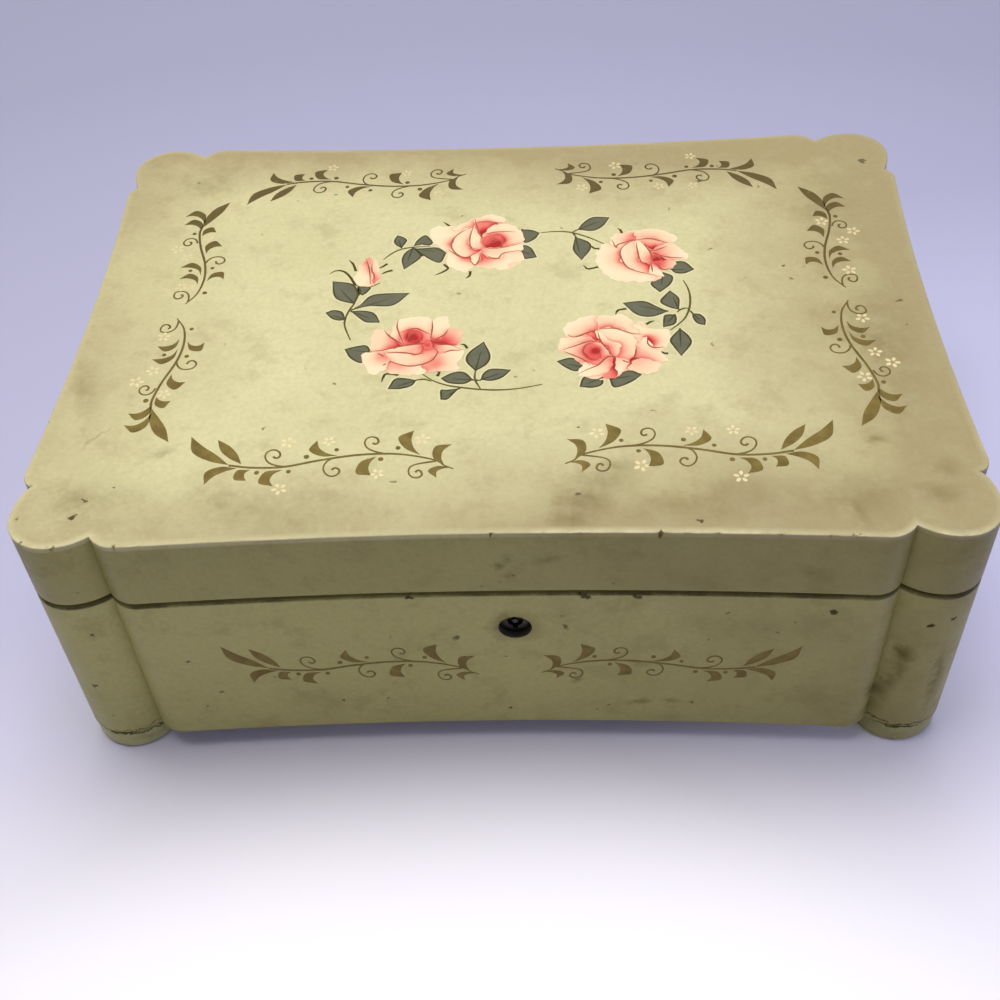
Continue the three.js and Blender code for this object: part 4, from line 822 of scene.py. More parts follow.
short_spray = {
    "stem": [107.9, 0.3, 104.6, 5.9, 103.3, 13.7, 104.1, 22.2, 106.9, 32.2, 108.3, 40.1, 108, 44.1],
    "curls": [
        [107.2, 1.5, 107.2, 3.8, 107.8, 5.9, 109.2, 7.2, 110.9, 7.4, 112.2, 6.7, 112.4, 5, 111.7, 3.6,
         110.5, 3.4, 109.5, 4.3, 109.5, 5.2, 110.1, 5.4],
        [104.1, 22.2, 103.2, 24.4, 101.6, 25.8, 99.8, 26, 98.1, 25.3, 97.4, 23.7, 98.1, 22.2, 99.3, 21.8,
         100.3, 22.6, 100.3, 23.5],
        [108.3, 34.7, 108.8, 36.2, 109.8, 37.4, 111.3, 37.7, 112.8, 36.8, 113.3, 35.2, 112.6, 33.8,
         111.3, 33.5, 110.5, 34.4, 110.7, 35.4, 111.3, 35.4],
    ],
    "leaves": [
        [105.1, 10.8, 106.4, 13.5, 108.9, 14.7, 111.8, 14.4, 108.8, 16.8, 105.8, 14.8],
        [104.8, 15.8, 105.9, 19, 108.8, 20.7, 112.3, 20.8, 108.7, 23, 105.4, 20.2],
        [102.3, 12.4, 100.8, 16.2, 97.2, 16.8, 96.6, 13, 98.2, 14.7, 100.6, 14.4],
        [104.5, 28.2, 105.1, 32.6, 102.1, 35.3, 99.3, 32.1, 101.8, 32.2, 103.8, 30.7],
        [107.3, 38.8, 106.9, 42.2, 104.1, 43.7, 102.4, 40.7, 104.3, 41.1, 106.1, 40.4],
        [107.8, 42, 108.3, 46.7, 111.6, 48.9, 114.6, 46.1, 111.8, 46.4, 109.4, 44.9],
        [107.2, 46.3, 107.8, 51.7, 111.4, 54.4, 114.8, 51.3, 111.8, 51.8, 109, 50],
        [108.2, 43.3, 107.1, 49.5, 104.3, 55.2, 99.5, 59.1, 101.6, 53.5, 104.8, 48.4],
    ],
    "berries": [102.1, 5.9, 108.7, 18.7, 101.2, 19.6, 110.2, 40.4],
    "flowers": [110.5, 9.6, 110.8, 26.4, 115, 31.6, 105.1, 37.5],
}


def paired(numbers):
    """Places from numbers listed as x, y, x, y."""
    return list(zip(numbers[::2], numbers[1::2]))


def flowing(points, step=0.6):
    """A smooth line through points in a plane, as close points."""
    ends = [(2 * points[0][0] - points[1][0], 2 * points[0][1] - points[1][1])] + list(points)
    ends.append((2 * points[-1][0] - points[-2][0], 2 * points[-1][1] - points[-2][1]))
    line = []
    for a, b, c, d in zip(ends, ends[1:], ends[2:], ends[3:]):
        steps = max(2, round(math.dist(b, c) / step))
        for i in range(steps):
            t = i / steps
            line.append(tuple(
                0.5 * (2 * q + (r - p) * t + (2 * p - 5 * q + 4 * r - s) * t * t
                       + (3 * q - p - 3 * r + s) * t ** 3)
                for p, q, r, s in zip(a, b, c, d)))
    return line + [points[-1]]


def on_lid(x, y, lift=0.0):
    """A place on the lid's top, by the outline's own coordinates."""
    return (x, y + centre_y, lid_top + lift)


def on_front(x, z, lift=0.0):
    """A place on the case's hollowed front face."""
    return (x, hollowed_y(x) - lift, z)


def growing_tree(name, **sizes):
    """A Geometry Nodes tree with inputs for its geometry, its sizes and its material, and its input node."""
    tree = bpy.data.node_groups.new(name, "GeometryNodeTree")
    for label, kind in (("Geometry", "Geometry"), *sizes.items(), ("Material", "Material")):
        tree.interface.new_socket(label, in_out="INPUT", socket_type="NodeSocket" + kind)
    tree.interface.new_socket("Geometry", in_out="OUTPUT", socket_type="NodeSocketGeometry")
    return tree, add(tree, "NodeGroupInput")


def grown(name, data, shape, values):
    """The plain mesh of a shape, the last node but three of its tree, made from a curve or loose points."""
    tree = shape.id_data
    material = add(tree, "NodeGroupInput").outputs["Material"]
    real = add(tree, "GeometryNodeRealizeInstances", {0: shape})
    add(tree, "NodeGroupOutput", {0: add(tree, "GeometryNodeSetMaterial", {0: real, "Material": material})})
    source = bpy.data.objects.new(name + "_source", data)
    bpy.context.collection.objects.link(source)
    modifier = source.modifiers.new("made", "NODES")
    modifier.node_group = tree
    for socket in tree.interface.items_tree:
        if socket.in_out == "INPUT" and socket.name in values:
            modifier[socket.identifier] = values[socket.name]
    source.update_tag()
    graph = bpy.context.evaluated_depsgraph_get()
    mesh = bpy.data.meshes.new_from_object(source.evaluated_get(graph))
    mesh.name = name
    bpy.data.objects.remove(source)
    piece = bpy.data.objects.new(name, mesh)
    bpy.context.collection.objects.link(piece)
    return piece


def brush_strokes(name, lines, place, up, paint):
    """Strokes along lines of (point, half width), as films, by Geometry Nodes."""
    curve = bpy.data.curves.new(name, "CURVE")
    curve.dimensions = "3D"
    for line in lines:
        spline = curve.splines.new("POLY")
        spline.points.add(len(line) - 1)
        for point, ((x, y), half) in zip(spline.points, line):
            point.co = [c * MM for c in place(x, y, film / 2)] + [1]
            point.radius = half
    tree, given = growing_tree("brush_strokes", Film="Float", Up="Vector")
    turned = add(tree, "GeometryNodeSetCurveNormal",
                 {"Curve": given.outputs["Geometry"], "Normal": given.outputs["Up"]}, mode="FREE")
    bristle = add(tree, "GeometryNodeCurvePrimitiveQuadrilateral",
                  {"Width": given.outputs["Film"], "Height": 2 * MM})
    width = add(tree, "GeometryNodeInputRadius")
    stroke = add(tree, "GeometryNodeCurveToMesh",
                 {"Curve": turned, "Profile Curve": bristle, "Scale": width, "Fill Caps": True})
    return grown(name, curve, stroke, {"Film": film * MM, "Up": up, "Material": paint})


def stroke_line(points, start, middle, end):
    """A smooth line whose half width goes from start through middle to end."""
    line = flowing(points)
    widths = []
    for i in range(len(line)):
        t = i / (len(line) - 1)
        swelling, thinning = min(1, 3 * t), (t - 0.6) / 0.4
        widths.append(start + (middle - start) * swelling if t < 0.6 else middle + (end - middle) * thinning)
    return list(zip(line, widths))


def film_shapes(name, outlines, place, paint, thickness=film, below=0.02):
    """Thin closed films with given outlines, laid on a face of the box, as one mesh."""
    points, faces = [], []
    for shape in outlines:
        turn = sum(a[0] * b[1] - b[0] * a[1] for a, b in zip(shape, shape[1:] + shape[:1]))
        shape = shape if turn > 0 else shape[::-1]
        first, count = len(points), len(shape)
        points += [place(x, y, -below) for x, y in shape] + [place(x, y, thickness) for x, y in shape]
        faces.append(tuple(first + i for i in range(count))[::-1])
        faces.append(tuple(first + count + i for i in range(count)))
        faces += [(first + i, first + (i + 1) % count, first + count + (i + 1) % count, first + count + i)
                  for i in range(count)]
    return mesh_piece(name, points, faces, paint)


def leaf_outline(leaf, swell):
    """A leaf's smooth closed outline from root, two points, tip and two points back, a little fuller."""
    root, a1, a2, tip, b1, b2 = leaf
    fuller = []
    for here, across in ((a1, b2), (a2, b1), (b1, a2), (b2, a1)):
        gap = math.dist(here, across)
        fuller.append(tuple(h + (h - c) / gap * swell for h, c in zip(here, across)))
    return flowing([root] + fuller[:2] + [tip])[:-1] + flowing([tip] + fuller[2:] + [root])[:-1]


def brush_paint(name, light, dark, far, wear):
    """A thin hand-laid paint: darker in pools 4 mm wide and towards the rear, and rubbed in spots of 2 mm."""
    material, tree = new_material(name)
    place = add(tree, "TexCoord").outputs["Object"]
    pooled = add(tree, "TexNoise", {"Vector": place, "Scale": 240.0, "Detail": 3.0})
    rubbed = add(tree, "TexNoise", {"Vector": place, "Scale": 420.0, "Detail": 6.0, "Roughness": 0.7})
    spot = add(tree, "SeparateXYZ", {0: place})
    colour = tinted(tree, linear(light), pooled, 0.35, 0.65, dark)
    colour = tinted(tree, colour, spot.outputs["Y"], -0.06, 0.08, far, 0.85)
    colour = tinted(tree, colour, rubbed, 0.6, 0.75, "#b5a671", wear)
    bump = add(tree, "Bump", {"Height": pooled, "Strength": 0.25, "Distance": 0.00005})
    shader = add(tree, "BsdfPrincipled",
                 {"Base Color": colour, "Roughness": 0.55, "Normal": bump, "Specular IOR Level": 0.2})
    add(tree, "OutputMaterial", {"Surface": shader})
    return material


vine_paint = brush_paint("brushed_olive_paint", "#7f6e33", "#6b5a26", "#554a24", 0.3)
stem_widths, curl_widths = (0.22, 0.4, 0.4), (0.34, 0.27, 0.38)
leaf_swell = 0.22


def spray_parts(sprays):
    """Strokes, leaf outlines and berries of placed sprays; each is a spray and its placing function."""
    lines, leaves, berries = [], [], []
    for spray, put in sprays:
        lines.append(stroke_line([put(*p) for p in paired(spray["stem"])], *stem_widths))
        lines += [stroke_line([put(*p) for p in paired(curl)], *curl_widths) for curl in spray["curls"]]
        leaves += [leaf_outline([put(*p) for p in paired(leaf)], leaf_swell) for leaf in spray["leaves"]]
        berries += [put(*p) for p in paired(spray["berries"])]
    return lines, leaves, berries


def round_dots(places, radius, steps=14):
    """Small dots of slightly different sizes."""
    sizes = random.Random(7)
    outlines = []
    for x, y in places:
        r = radius * sizes.uniform(0.85, 1.15)
        turns = [2 * math.pi * i / steps for i in range(steps)]
        outlines.append([(x + r * math.cos(t), y + r * math.sin(t)) for t in turns])
    return outlines


def put_in_quarter(centre, sx, sy, dx, dy, degrees):
    """A placing in a quarter of the lid: mirrored, turned about its centre and shifted as printed."""
    cx, cy = centre[0] * sx, centre[1] * sy
    cosine, sine = math.cos(math.radians(degrees)), math.sin(math.radians(degrees))

    def put(x, y):
        u, v = x * sx - cx, y * sy - cy
        return (cx + dx + u * cosine - v * sine, cy + dy + u * sine + v * cosine)
    return put


long_middle, short_middle = (53, 68), (107, 30)
lid_sprays = [
    (long_spray, put_in_quarter(long_middle, -1, -1, -0.1, 0.0, 0.2)),
    (long_spray, put_in_quarter(long_middle, 1, -1, 5.9, 1.9, 0.6)),
    (long_spray, put_in_quarter(long_middle, -1, 1, -1.8, 7.4, 0.6)),
    (long_spray, put_in_quarter(long_middle, 1, 1, 4.5, 9.0, -0.9)),
    (short_spray, put_in_quarter(short_middle, -1, -1, 0.1, -0.4, 0.0)),
    (short_spray, put_in_quarter(short_middle, 1, -1, 5.5, 1.6, 2.7)),
    (short_spray, put_in_quarter(short_middle, -1, 1, 0.1, 6.6, 2.5)),
    (short_spray, put_in_quarter(short_middle, 1, 1, 4.7, 7.7, -0.6)),
]
# The front's two are the long spray, mirrored, narrowed and tilted a little, as painted by hand.
front_sprays = [
    (long_spray, lambda x, y: (4.4 - 0.98 * x, 101.8 + 0.05 * x - 0.93 * y)),
    (long_spray, lambda x, y: (0.99 * x - 2.2, 99.1 + 0.02 * x - 0.88 * y)),
]
for body, sprays, place, up in (("lid", lid_sprays, on_lid, (0, 0, 1)),
                                ("case", front_sprays, on_front, (0, -1, 0))):
    lines, leaves, berries = spray_parts(sprays)
    pieces = [
        brush_strokes(f"vine_strokes_{body}", lines, place, up, vine_paint),
        film_shapes(f"vine_leaves_{body}", leaves, place, vine_paint),
        film_shapes(f"vine_berries_{body}", round_dots(berries, 0.8), place, vine_paint),
    ]
    for piece in pieces:
        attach(piece, body)

# Small cream blossoms of five round petals and an open centre, dabbed beside the vines on the lid.
blossom_paint = brush_paint("brushed_cream_paint", "#e9dcae", "#dccc9c", "#cfc195", 0.5)
petal_count = 5
blossom_places = [put(x, y) for spray, put in lid_sprays for x, y in paired(spray["flowers"])]


def places_mesh(name, points):
    """Loose points, given in millimetres, for a Geometry Nodes tree to put pieces on."""
    mesh = bpy.data.meshes.new(name + "_places")
    mesh.from_pydata([tuple(c * MM for c in p) for p in points], [], [])
    return mesh


def blossoms(name, places, petal_length, petal_width, reach, paint):
    """Five-petalled blossoms on points, turned and sized at random with a fixed seed."""
    tree, given = growing_tree("blossoms", Length="Float", Width="Float", Reach="Float", Film="Float")
    disc = add(tree, "GeometryNodeMeshCylinder",
               {"Vertices": 12, "Radius": 0.5, "Depth": given.outputs["Film"]})
    size = add(tree, "CombineXYZ", {0: given.outputs["Length"], 1: given.outputs["Width"], 2: 1.0})
    out = add(tree, "CombineXYZ", {0: given.outputs["Reach"]})
    petal = add(tree, "GeometryNodeTransform", {"Geometry": disc, "Translation": out, "Scale": size})
    whole = add(tree, "GeometryNodeJoinGeometry")
    for i in range(petal_count):
        turned = add(tree, "GeometryNodeTransform",
                     {"Geometry": petal, "Rotation": (0, 0, 2 * math.pi * i / petal_count)})
        tree.links.new(turned.outputs[0], whole.inputs[0])
    turn = add(tree, "FunctionNodeRandomValue", {0: (0, 0, 0), 1: (0, 0, 2 * math.pi), "Seed": 3},
               data_type="FLOAT_VECTOR")
    grow = add(tree, "FunctionNodeRandomValue", {2: 0.85, 3: 1.1, "Seed": 4}, data_type="FLOAT")
    put = add(tree, "GeometryNodeInstanceOnPoints",
              {"Points": given.outputs["Geometry"], "Instance": whole, "Rotation": turn, "Scale": grow})
    points = places_mesh(name, [on_lid(x, y, film / 4) for x, y in places])
    return grown(name, points, put, {"Length": petal_length * MM, "Width": petal_width * MM,
                                     "Reach": reach * MM, "Film": film * MM, "Material": paint})


lid_blossoms = blossoms("blossoms_lid", blossom_places, 1.7, 1.15, 1.5, blossom_paint)
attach(lid_blossoms, "lid")

# Painted roses
# A wreath of four full roses, a bud and their leaves round the middle of the lid, in coral, cream and
# olive. Each petal is its own thin film over the last, laid out in tenths of a millimetre.
TENTH = 0.1
# Each rose: its middle, its petals and the lines of its folds. Each petal: the middle of its dark part, how
# far the shade reaches, its tone there and at its rim, and its outline.
roses = {
    "rear_left": ((-8.5, 37.2), [
        ((45, 10), 160, 0.35, 0.04, [-155, 107, -178, 66, -161, 6, -117, -42, -110, -105, -60, -160,
                                     -17, -131, 17, -141, 58, -131, 96, -152, 143, -103, 145, -12, 138, 59,
                                     106, 108, 77, 122, 66, 156, 34, 169, -22, 147, -88, 104, -116, 94]),
        ((-98, 4), 52, 0.5, 0.02, [-155, 107, -178, 66, -161, 6, -110, -36, -95, 27, -66, 85]),
        ((-46, -79), 55, 0.62, 0.03, [-107, -36, -63, -78, -36, -79, -17, -131, -60, -160, -106, -116]),
        ((16, -87), 82, 0.55, 0.06, [5, -49, 40, -88, 81, -61, 139, -46, 146, -101, 102, -124, 96, -152,
                                     17, -141, -4, -115]),
        ((-21, 102), 64, 0.42, 0.02, [-19, 153, -85, 104, -101, 81, -66, 83, -21, 114]),
        ((4, -18), 94, 0.66, 0.12, [-31, 99, -77, 59, -100, 4, -89, -49, -48, -79, -14, -57, 1, -41, -8, 30]),
        ((1, -46), 76, 0.4, 0.02, [-25, 108, -38, 25, -31, -22, 2, -35, 1, 18, -16, 98]),
        ((11, 112), 57, 0.42, 0.04, [-22, 144, 34, 169, 79, 146, 78, 116, 24, 124, -21, 120]),
        ((5, 59), 46, 0.85, 0.6, [-21, 114, 2, 35, 33, 52, 25, 88, 56, 120, 3, 128]),
        ((58, 15), 84, 0.72, 0.1, [9, 41, 32, 90, 53, 108, 106, 105, 142, 53, 144, -6, 87, -21, 72, 38]),
        ((52, -2), 35, 0.98, 0.72, [10, 17, 30, 46, 58, 48, 79, 20, 73, -26, 39, -31, 14, -18]),
        ((38, -25), 97, 0.42, 0.02, [7, -29, 68, -29, 139, -8, 139, -46, 81, -61, 64, -89, 17, -67]),
        ((1, -58), 41, 0.45, 0.03, [-33, -77, 5, -49, -1, -98, -17, -123]),
    ], [
        [-31, 96, -72, 65, -97, 21, -98, -25, -74, -66, -43, -78, 1, -46],
        [-28, 102, -38, 31, -31, -22, 1, -38],
        [-22, 144, -20, 120, -2, 47, 10, 11],
        [-22, 123, 24, 126, 78, 116],
        [2, 50, 23, 55, 50, 63, 92, 64, 124, 60],
        [17, -1, 39, 25, 58, 15, 41, 1, 20, 2],
        [70, 44, 79, 14, 68, -32],
        [7, -29, 68, -30, 139, -8],
        [15, -64, 42, -88, 64, -89, 81, -61, 139, -46],
        [1, -52, -3, -98, -17, -125, -36, -85],
        [-110, -36, -67, -75, -36, -79],
    ]),
    "front_left": ((-27.5, -16.9), [
        ((1, -5), 167, 0.35, 0.03, [-141, 75, -109, 84, -94, 58, -72, 118, -34, 133, 8, 144, 51, 124, 87, 141,
                                    103, 77, 148, 65, 132, -4, 152, -44, 135, -91, 133, -122, 71, -118,
                                    3, -147, -86, -128, -136, -136, -172, -48, -142, -20, -148, 40]),
        ((-44, -3), 96, 0.72, 0.2, [-146, 60, -109, 79, -69, 22, -44, -3, -97, -21, -139, -20]),
        ((-45, 7), 77, 0.5, 0.02, [-82, 78, -63, 131, -63, 72, -42, 7, -83, 48]),
        ((-10, 55), 84, 0.45, 0.02, [-63, 128, 8, 144, 45, 125, 43, 34, -5, 80, -52, 62]),
        ((44, 19), 84, 0.5, 0.02, [51, 124, 90, 141, 99, 82, 69, 33, 44, 19]),
        ((76, 18), 77, 0.8, 0.35, [103, 77, 148, 65, 132, -4, 77, -2, 48, 14, 82, 37]),
        ((-15, 36), 55, 0.75, 0.45, [-52, 62, -4, 78, 40, 44, 41, 19, -19, -2, -45, 12]),
        ((-12, 40), 26, 1, 0.78, [-35, 46, -20, 68, 3, 65, 19, 44, 6, 20, -20, 21]),
        ((26, -5), 134, 0.5, 0.03, [-103, -26, -44, -3, 19, 5, 27, -10, 13, -42, -49, -33]),
        ((40, -26), 140, 0.45, 0.02, [-100, -36, 16, -47, 30, -15, 56, -19, 76, -36, 50, -82, -6, -101,
                                      -61, -88]),
        ((48, -1), 96, 0.6, 0.03, [42, 4, 129, -6, 145, -26, 86, -44, 66, -21]),
        ((62, -84), 82, 0.62, 0.05, [139, -29, 153, -49, 136, -96, 133, -122, 34, -134, 22, -102, 68, -65,
                                     86, -44]),
        ((-45, -91), 82, 0.5, 0.03, [-84, -75, -34, -101, 22, -102, 34, -134, -25, -144, -99, -118]),
        ((-98, -50), 70, 0.6, 0.02, [-142, -30, -99, -41, -81, -75, -102, -127, -136, -136, -168, -53]),
        ((36, -1), 13, 0.9, 0.7, [26, 4, 35, 17, 48, 6, 46, -16, 30, -18]),
    ], [
        [-109, 79, -94, 53, -69, 27, -41, -1],
        [-67, 128, -67, 88, -42, 7],
        [-52, 67, -27, 79, -2, 83, 39, 54],
        [45, 120, 47, 84, 44, 29],
        [99, 77, 85, 47, 41, 14],
        [-142, -25, -98, -19, -44, -3, 26, 7, 103, -1, 145, -24],
        [-100, -36, -42, -35, 9, -44, 27, -13],
        [39, -6, 69, -31, 50, -79, -6, -101, -57, -88, -84, -68, -100, -36],
        [86, -44, 111, -30, 146, -29],
        [-110, -103, -92, -89, -74, -80],
        [-33, 21, -19, 56, 3, 60],
        [-142, -30, -108, -45, -87, -75],
    ]),
    "front_right": ((35.5, -19.8), [
        ((-45, -14), 194, 0.3, 0.03, [-100, 155, -49, 161, -7, 155, 32, 164, 59, 122, 95, 123, 121, 85,
                                      175, 78, 170, 4, 143, -24, 162, -73, 139, -82, 99, -132, 45, -112,
                                      -22, -152, -95, -136, -91, -103, -130, -45, -167, -10, -163, 49,
                                      -147, 68, -160, 94]),
        ((-61, 71), 96, 0.5, 0.02, [-160, 94, -100, 155, -52, 149, -54, 80, -135, 53]),
        ((-22, 84), 96, 0.5, 0.03, [-49, 151, 3, 157, 39, 158, 92, 66, 68, 46, 4, 91, -41, 90]),
        ((115, 30), 57, 0.72, 0.05, [62, 117, 121, 85, 175, 78, 170, 4, 125, -7, 105, 16, 88, 61]),
        ((82, -56), 93, 0.5, 0.03, [70, 7, 103, 45, 122, -9, 143, -29, 162, -73, 60, -55]),
        ((-7, -24), 106, 0.5, 0.05, [-41, 90, 23, 90, 62, 47, 69, -3, 50, -69, -2, -49, -25, 10]),
        ((-43, 30), 32, 0.75, 0.55, [-80, 66, -51, 80, -37, 20, -74, 51]),
        ((-32, -14), 82, 0.6, 0.02, [-51, 90, -24, 44, 19, 4, -2, -49, -32, 1, -49, 45]),
        ((-46, 30), 126, 0.5, 0.02, [-163, 49, -112, 57, -43, 30, -91, 22, -164, -10]),
        ((-77, -32), 81, 0.62, 0.25, [-161, -10, -91, 27, -44, 21, -17, -24, -56, -85, -90, -75]),
        ((-61, -18), 28, 1, 0.74, [-91, 7, -72, 21, -51, -4, -43, -47, -65, -61, -89, -36]),
        ((-34, -53), 87, 0.5, 0.02, [-90, -70, -53, -81, -24, -43, -5, -49, -17, -110, -80, -136,
                                     -120, -128]),
        ((-6, -63), 62, 0.85, 0.6, [-8, -49, 4, -54, 4, -134, -22, -152, -43, -137, -14, -101]),
        ((7, -54), 50, 0.4, 0.02, [4, -49, 40, -74, 39, -93, 7, -129]),
        ((57, -55), 44, 0.8, 0.5, [40, -79, 57, -51, 69, -70, 45, -107]),
        ((72, -61), 99, 0.45, 0.04, [63, -60, 139, -82, 106, -128, 45, -109]),
    ], [
        [-147, 68, -125, 53, -80, 76, -51, 83],
        [-51, 85, -43, 35, -25, -5, -2, -49],
        [-48, 90, 4, 93, 54, 67, 88, 61],
        [106, 45, 107, 11, 125, -7, 157, -3],
        [60, -46, 78, -63, 109, -71],
        [-83, -51, -99, -26, -91, 12, -66, 24],
        [-164, -10, -132, 6, -81, 29, -43, 23],
        [-120, -126, -85, -103, -53, -83, -24, -48, -2, -49, 2, -92, 4, -129],
        [4, -49, 40, -74, 66, -58],
        [69, 2, 64, -36, 50, -69],
        [-161, -15, -102, -55, -78, -85],
    ]),
    "rear_right": ((47.6, 28.1), [
        ((13, -6), 162, 0.35, 0.03, [-107, 114, -23, 143, 64, 145, 116, 99, 96, 65, 131, 29, 144, -23,
                                     96, -38, 97, -66, 56, -86, 57, -119, 19, -145, -44, -143, -123, -123,
                                     -164, -33, -144, 57, -105, 73]),
        ((-55, -15), 101, 0.62, 0.03, [-144, 57, -96, 55, -80, 20, -73, -42, -15, -95, 31, -113, 12, -145,
                                       -44, -143, -123, -123, -164, -33]),
        ((-36, 93), 82, 0.5, 0.03, [-107, 114, -31, 128, -29, 87, -94, 55]),
        ((19, 85), 103, 0.45, 0.03, [-28, 116, -5, 148, 64, 145, 116, 99, 89, 65, 26, 94]),
        ((30, 39), 51, 0.7, 0.3, [-9, 80, 46, 81, 78, 54, 36, 30, 7, 51]),
        ((22, -40), 101, 0.62, 0.12, [-33, 87, -72, 48, -81, 9, -64, -60, -12, -95, 19, -90, 21, -46,
                                      -17, -11, -24, 52]),
        ((26, -29), 87, 0.5, 0.02, [-23, 81, 7, 57, 28, -41, -12, -34, -22, 35]),
        ((42, 15), 108, 0.55, 0.03, [86, 65, 131, 29, 144, -23, 71, -11, 22, 22]),
        ((53, -30), 30, 1, 0.74, [27, -1, 57, -8, 76, -37, 61, -56, 32, -38]),
        ((45, -41), 67, 0.7, 0.3, [32, -38, 96, -32, 97, -66, 56, -81]),
        ((34, -52), 47, 0.42, 0.02, [21, -52, 49, -92, 57, -119, 15, -101]),
    ], [
        [-108, 96, -94, 49, -85, 66, -33, 87],
        [-33, 87, -72, 48, -81, 3, -60, -65, -12, -97, 31, -113],
        [-29, 87, 26, 94, 86, 65],
        [-6, 75, 19, 22, 28, -41],
        [15, 28, 39, 27, 81, 48],
        [25, 19, 71, -11, 134, -20],
        [25, -46, -12, -36, -22, 35, -23, 75],
        [32, -41, 56, -81, 90, -76],
        [65, -42, 47, -13, 27, -7],
        [21, -52, 22, -96],
    ]),
    "bud": ((-46.5, 20.4), [
        ((-10, 74), 90, 0.35, 0.02, [-38, 13, -35, 47, -7, 85, 13, 17, 19, -55, -25, -56, -42, -26]),
        ((33, -28), 68, 0.48, 0.12, [8, 73, 20, 87, 29, 61, 46, -12, 28, -50, 15, 22]),
        ((-3, 74), 76, 0.55, 0.42, [-12, 97, 6, 96, 13, 28, 28, -50, 15, -50, 0, 40]),
    ], [
        [11, 73, 13, 28, 25, -6, 20, -33],
        [-11, 91, 5, 28, 15, -50],
    ]),
}
garland_leaves = [
    [-317, 367, -306, 399, -278, 426, -248, 384, -263, 367, -294, 373],
    [-317, 349, -279, 351, -234, 352, -201, 322, -219, 268, -258, 287],
    [-318, 358, -295, 328, -290, 294, -342, 231, -353, 285, -344, 327],
    [-359, 354, -380, 375, -388, 399, -379, 431, -357, 418, -343, 397],
    [55, 449, 77, 446, 98, 440, 121, 425, 102, 388, 66, 372],
    [54, 323, 66, 354, 92, 336, 111, 284, 88, 279, 66, 280],
    [252, 438, 274, 479, 310, 511, 368, 508, 340, 455, 304, 430],
    [244, 397, 290, 363, 294, 322, 262, 261, 236, 316, 238, 359],
    [559, 199, 571, 235, 609, 239, 639, 196, 604, 176, 574, 179],
    [534, 184, 563, 161, 553, 118, 516, 76, 489, 120, 509, 157],
    [571, -17, 575, 16, 574, 48, 549, 86, 514, 31, 538, -1],
    [537, -24, 503, 0, 459, 31, 390, 25, 433, -36, 483, -49],
    [558, -40, 561, -61, 551, -91, 514, -105, 518, -64, 526, -42],
    [613, -37, 638, -43, 652, -69, 649, -99, 625, -88, 613, -60],
    [567, -111, 591, -147, 598, -187, 562, -248, 543, -204, 533, -165],
    [-415, -199, -435, -166, -468, -168, -505, -181, -481, -226, -441, -249],
    [-264, -337, -299, -327, -333, -330, -352, -376, -311, -375, -278, -362],
    [-87, -340, -116, -304, -153, -305, -190, -330, -164, -352, -117, -358],
    [-82, -300, -112, -252, -104, -208, -59, -156, -37, -225, -48, -268],
    [-65, -341, -56, -310, -29, -290, 31, -296, 3, -331, -31, -346],
    [-129, -378, -166, -384, -187, -386, -185, -429, -164, -427, -143, -398],
    [264, -296, 246, -265, 215, -245, 171, -260, 199, -290, 230, -309],
    [315, -340, 288, -332, 254, -338, 240, -382, 280, -387, 311, -372],
    [333, -350, 355, -337, 394, -310, 436, -330, 397, -366, 347, -387],
    [-494, 48, -547, 71, -570, 104, -581, 176, -511, 157, -486, 101],
    [-505, 17, -474, 45, -432, 97, -312, 103, -367, 38, -447, 36],
    [-504, 12, -475, -21, -446, -47, -400, -51, -424, -2, -465, 13],
    [-516, -32, -530, 7, -561, 19, -587, 7, -564, -23, -539, -35],
    [-490, 145, -485, 123, -483, 107, -472, 93, -457, 111, -449, 138],
]
garland_stems = [
    [-417, 290, -389, 326, -359, 348, -318, 358, -259, 361],
    [123, 425, 175, 431, 227, 424, 279, 398, 313, 374, 353, 343],
    [597, 138, 610, 89, 612, 36, 605, -11, 589, -57, 564, -91, 536, -120],
    [565, -30, 572, -20, 589, -10, 605, -11],
    [605, -21, 619, -47],
    [-247, -309, -214, -339, -173, -361, -126, -374, -64, -385, -2, -389, 59, -383, 127, -367],
    [-82, -300, -82, -338, -64, -382],
    [-90, -342, -62, -343],
    [-270, -337, -240, -333, -217, -343],
    [-129, -378, -120, -374],
    [-483, 101, -495, 54, -508, 17, -517, -24, -515, -66, -490, -137],
    [-501, 151, -476, 139, -449, 141, -417, 161],
    [234, 424, 256, 441],
    [234, 424, 248, 394],
]
sepals = [
    [-220, 503, -202, 484, -186, 459],
    [-236, 196, -210, 212, -192, 233, -207, 256],
    [-130, 175, -117, 189, -115, 214],
    [295, 345, 308, 327, 325, 324],
    [268, 233, 281, 213, 298, 215, 318, 222],
    [391, 441, 401, 432, 406, 411],
    [489, -71, 475, -76, 462, -88],
    [501, -222, 510, -232, 522, -233],
    [-373, -343, -369, -320, -360, -304, -322, -310],
    [-134, -168, -121, -171, -111, -189],
    [-213, -296, -195, -297, -200, -320],
    [-596, 215, -574, 234, -546, 227, -522, 195, -501, 151],
    [-535, 292, -519, 268, -506, 228],
    [-430, 242, -417, 250, -401, 267],
    [-417, 208, -404, 219, -381, 229],
    [365, -34, 375, -13, 402, -6],
]
petal_step, first_petal, rose_line_level = 0.0045, 0.02, 0.0725
leaf_level, vein_level, halo_level = 0.008, 0.016, 0.003
leaf_border, halo_reach, garland_leaf_swell, vein_share = 0.7, 0.55, 0.1, 0.66
fold_widths, vein_widths = (0.06, 0.26, 0.08), (0.34, 0.24, 0.08)
garland_stem_widths, sepal_widths = (0.2, 0.36, 0.2), (0.12, 0.42, 0.5)
petal_grid, frill, frill_pitch, fold_shade, fold_shade_reach = 0.8, 0.95, 0.45, 0.42, 1.0


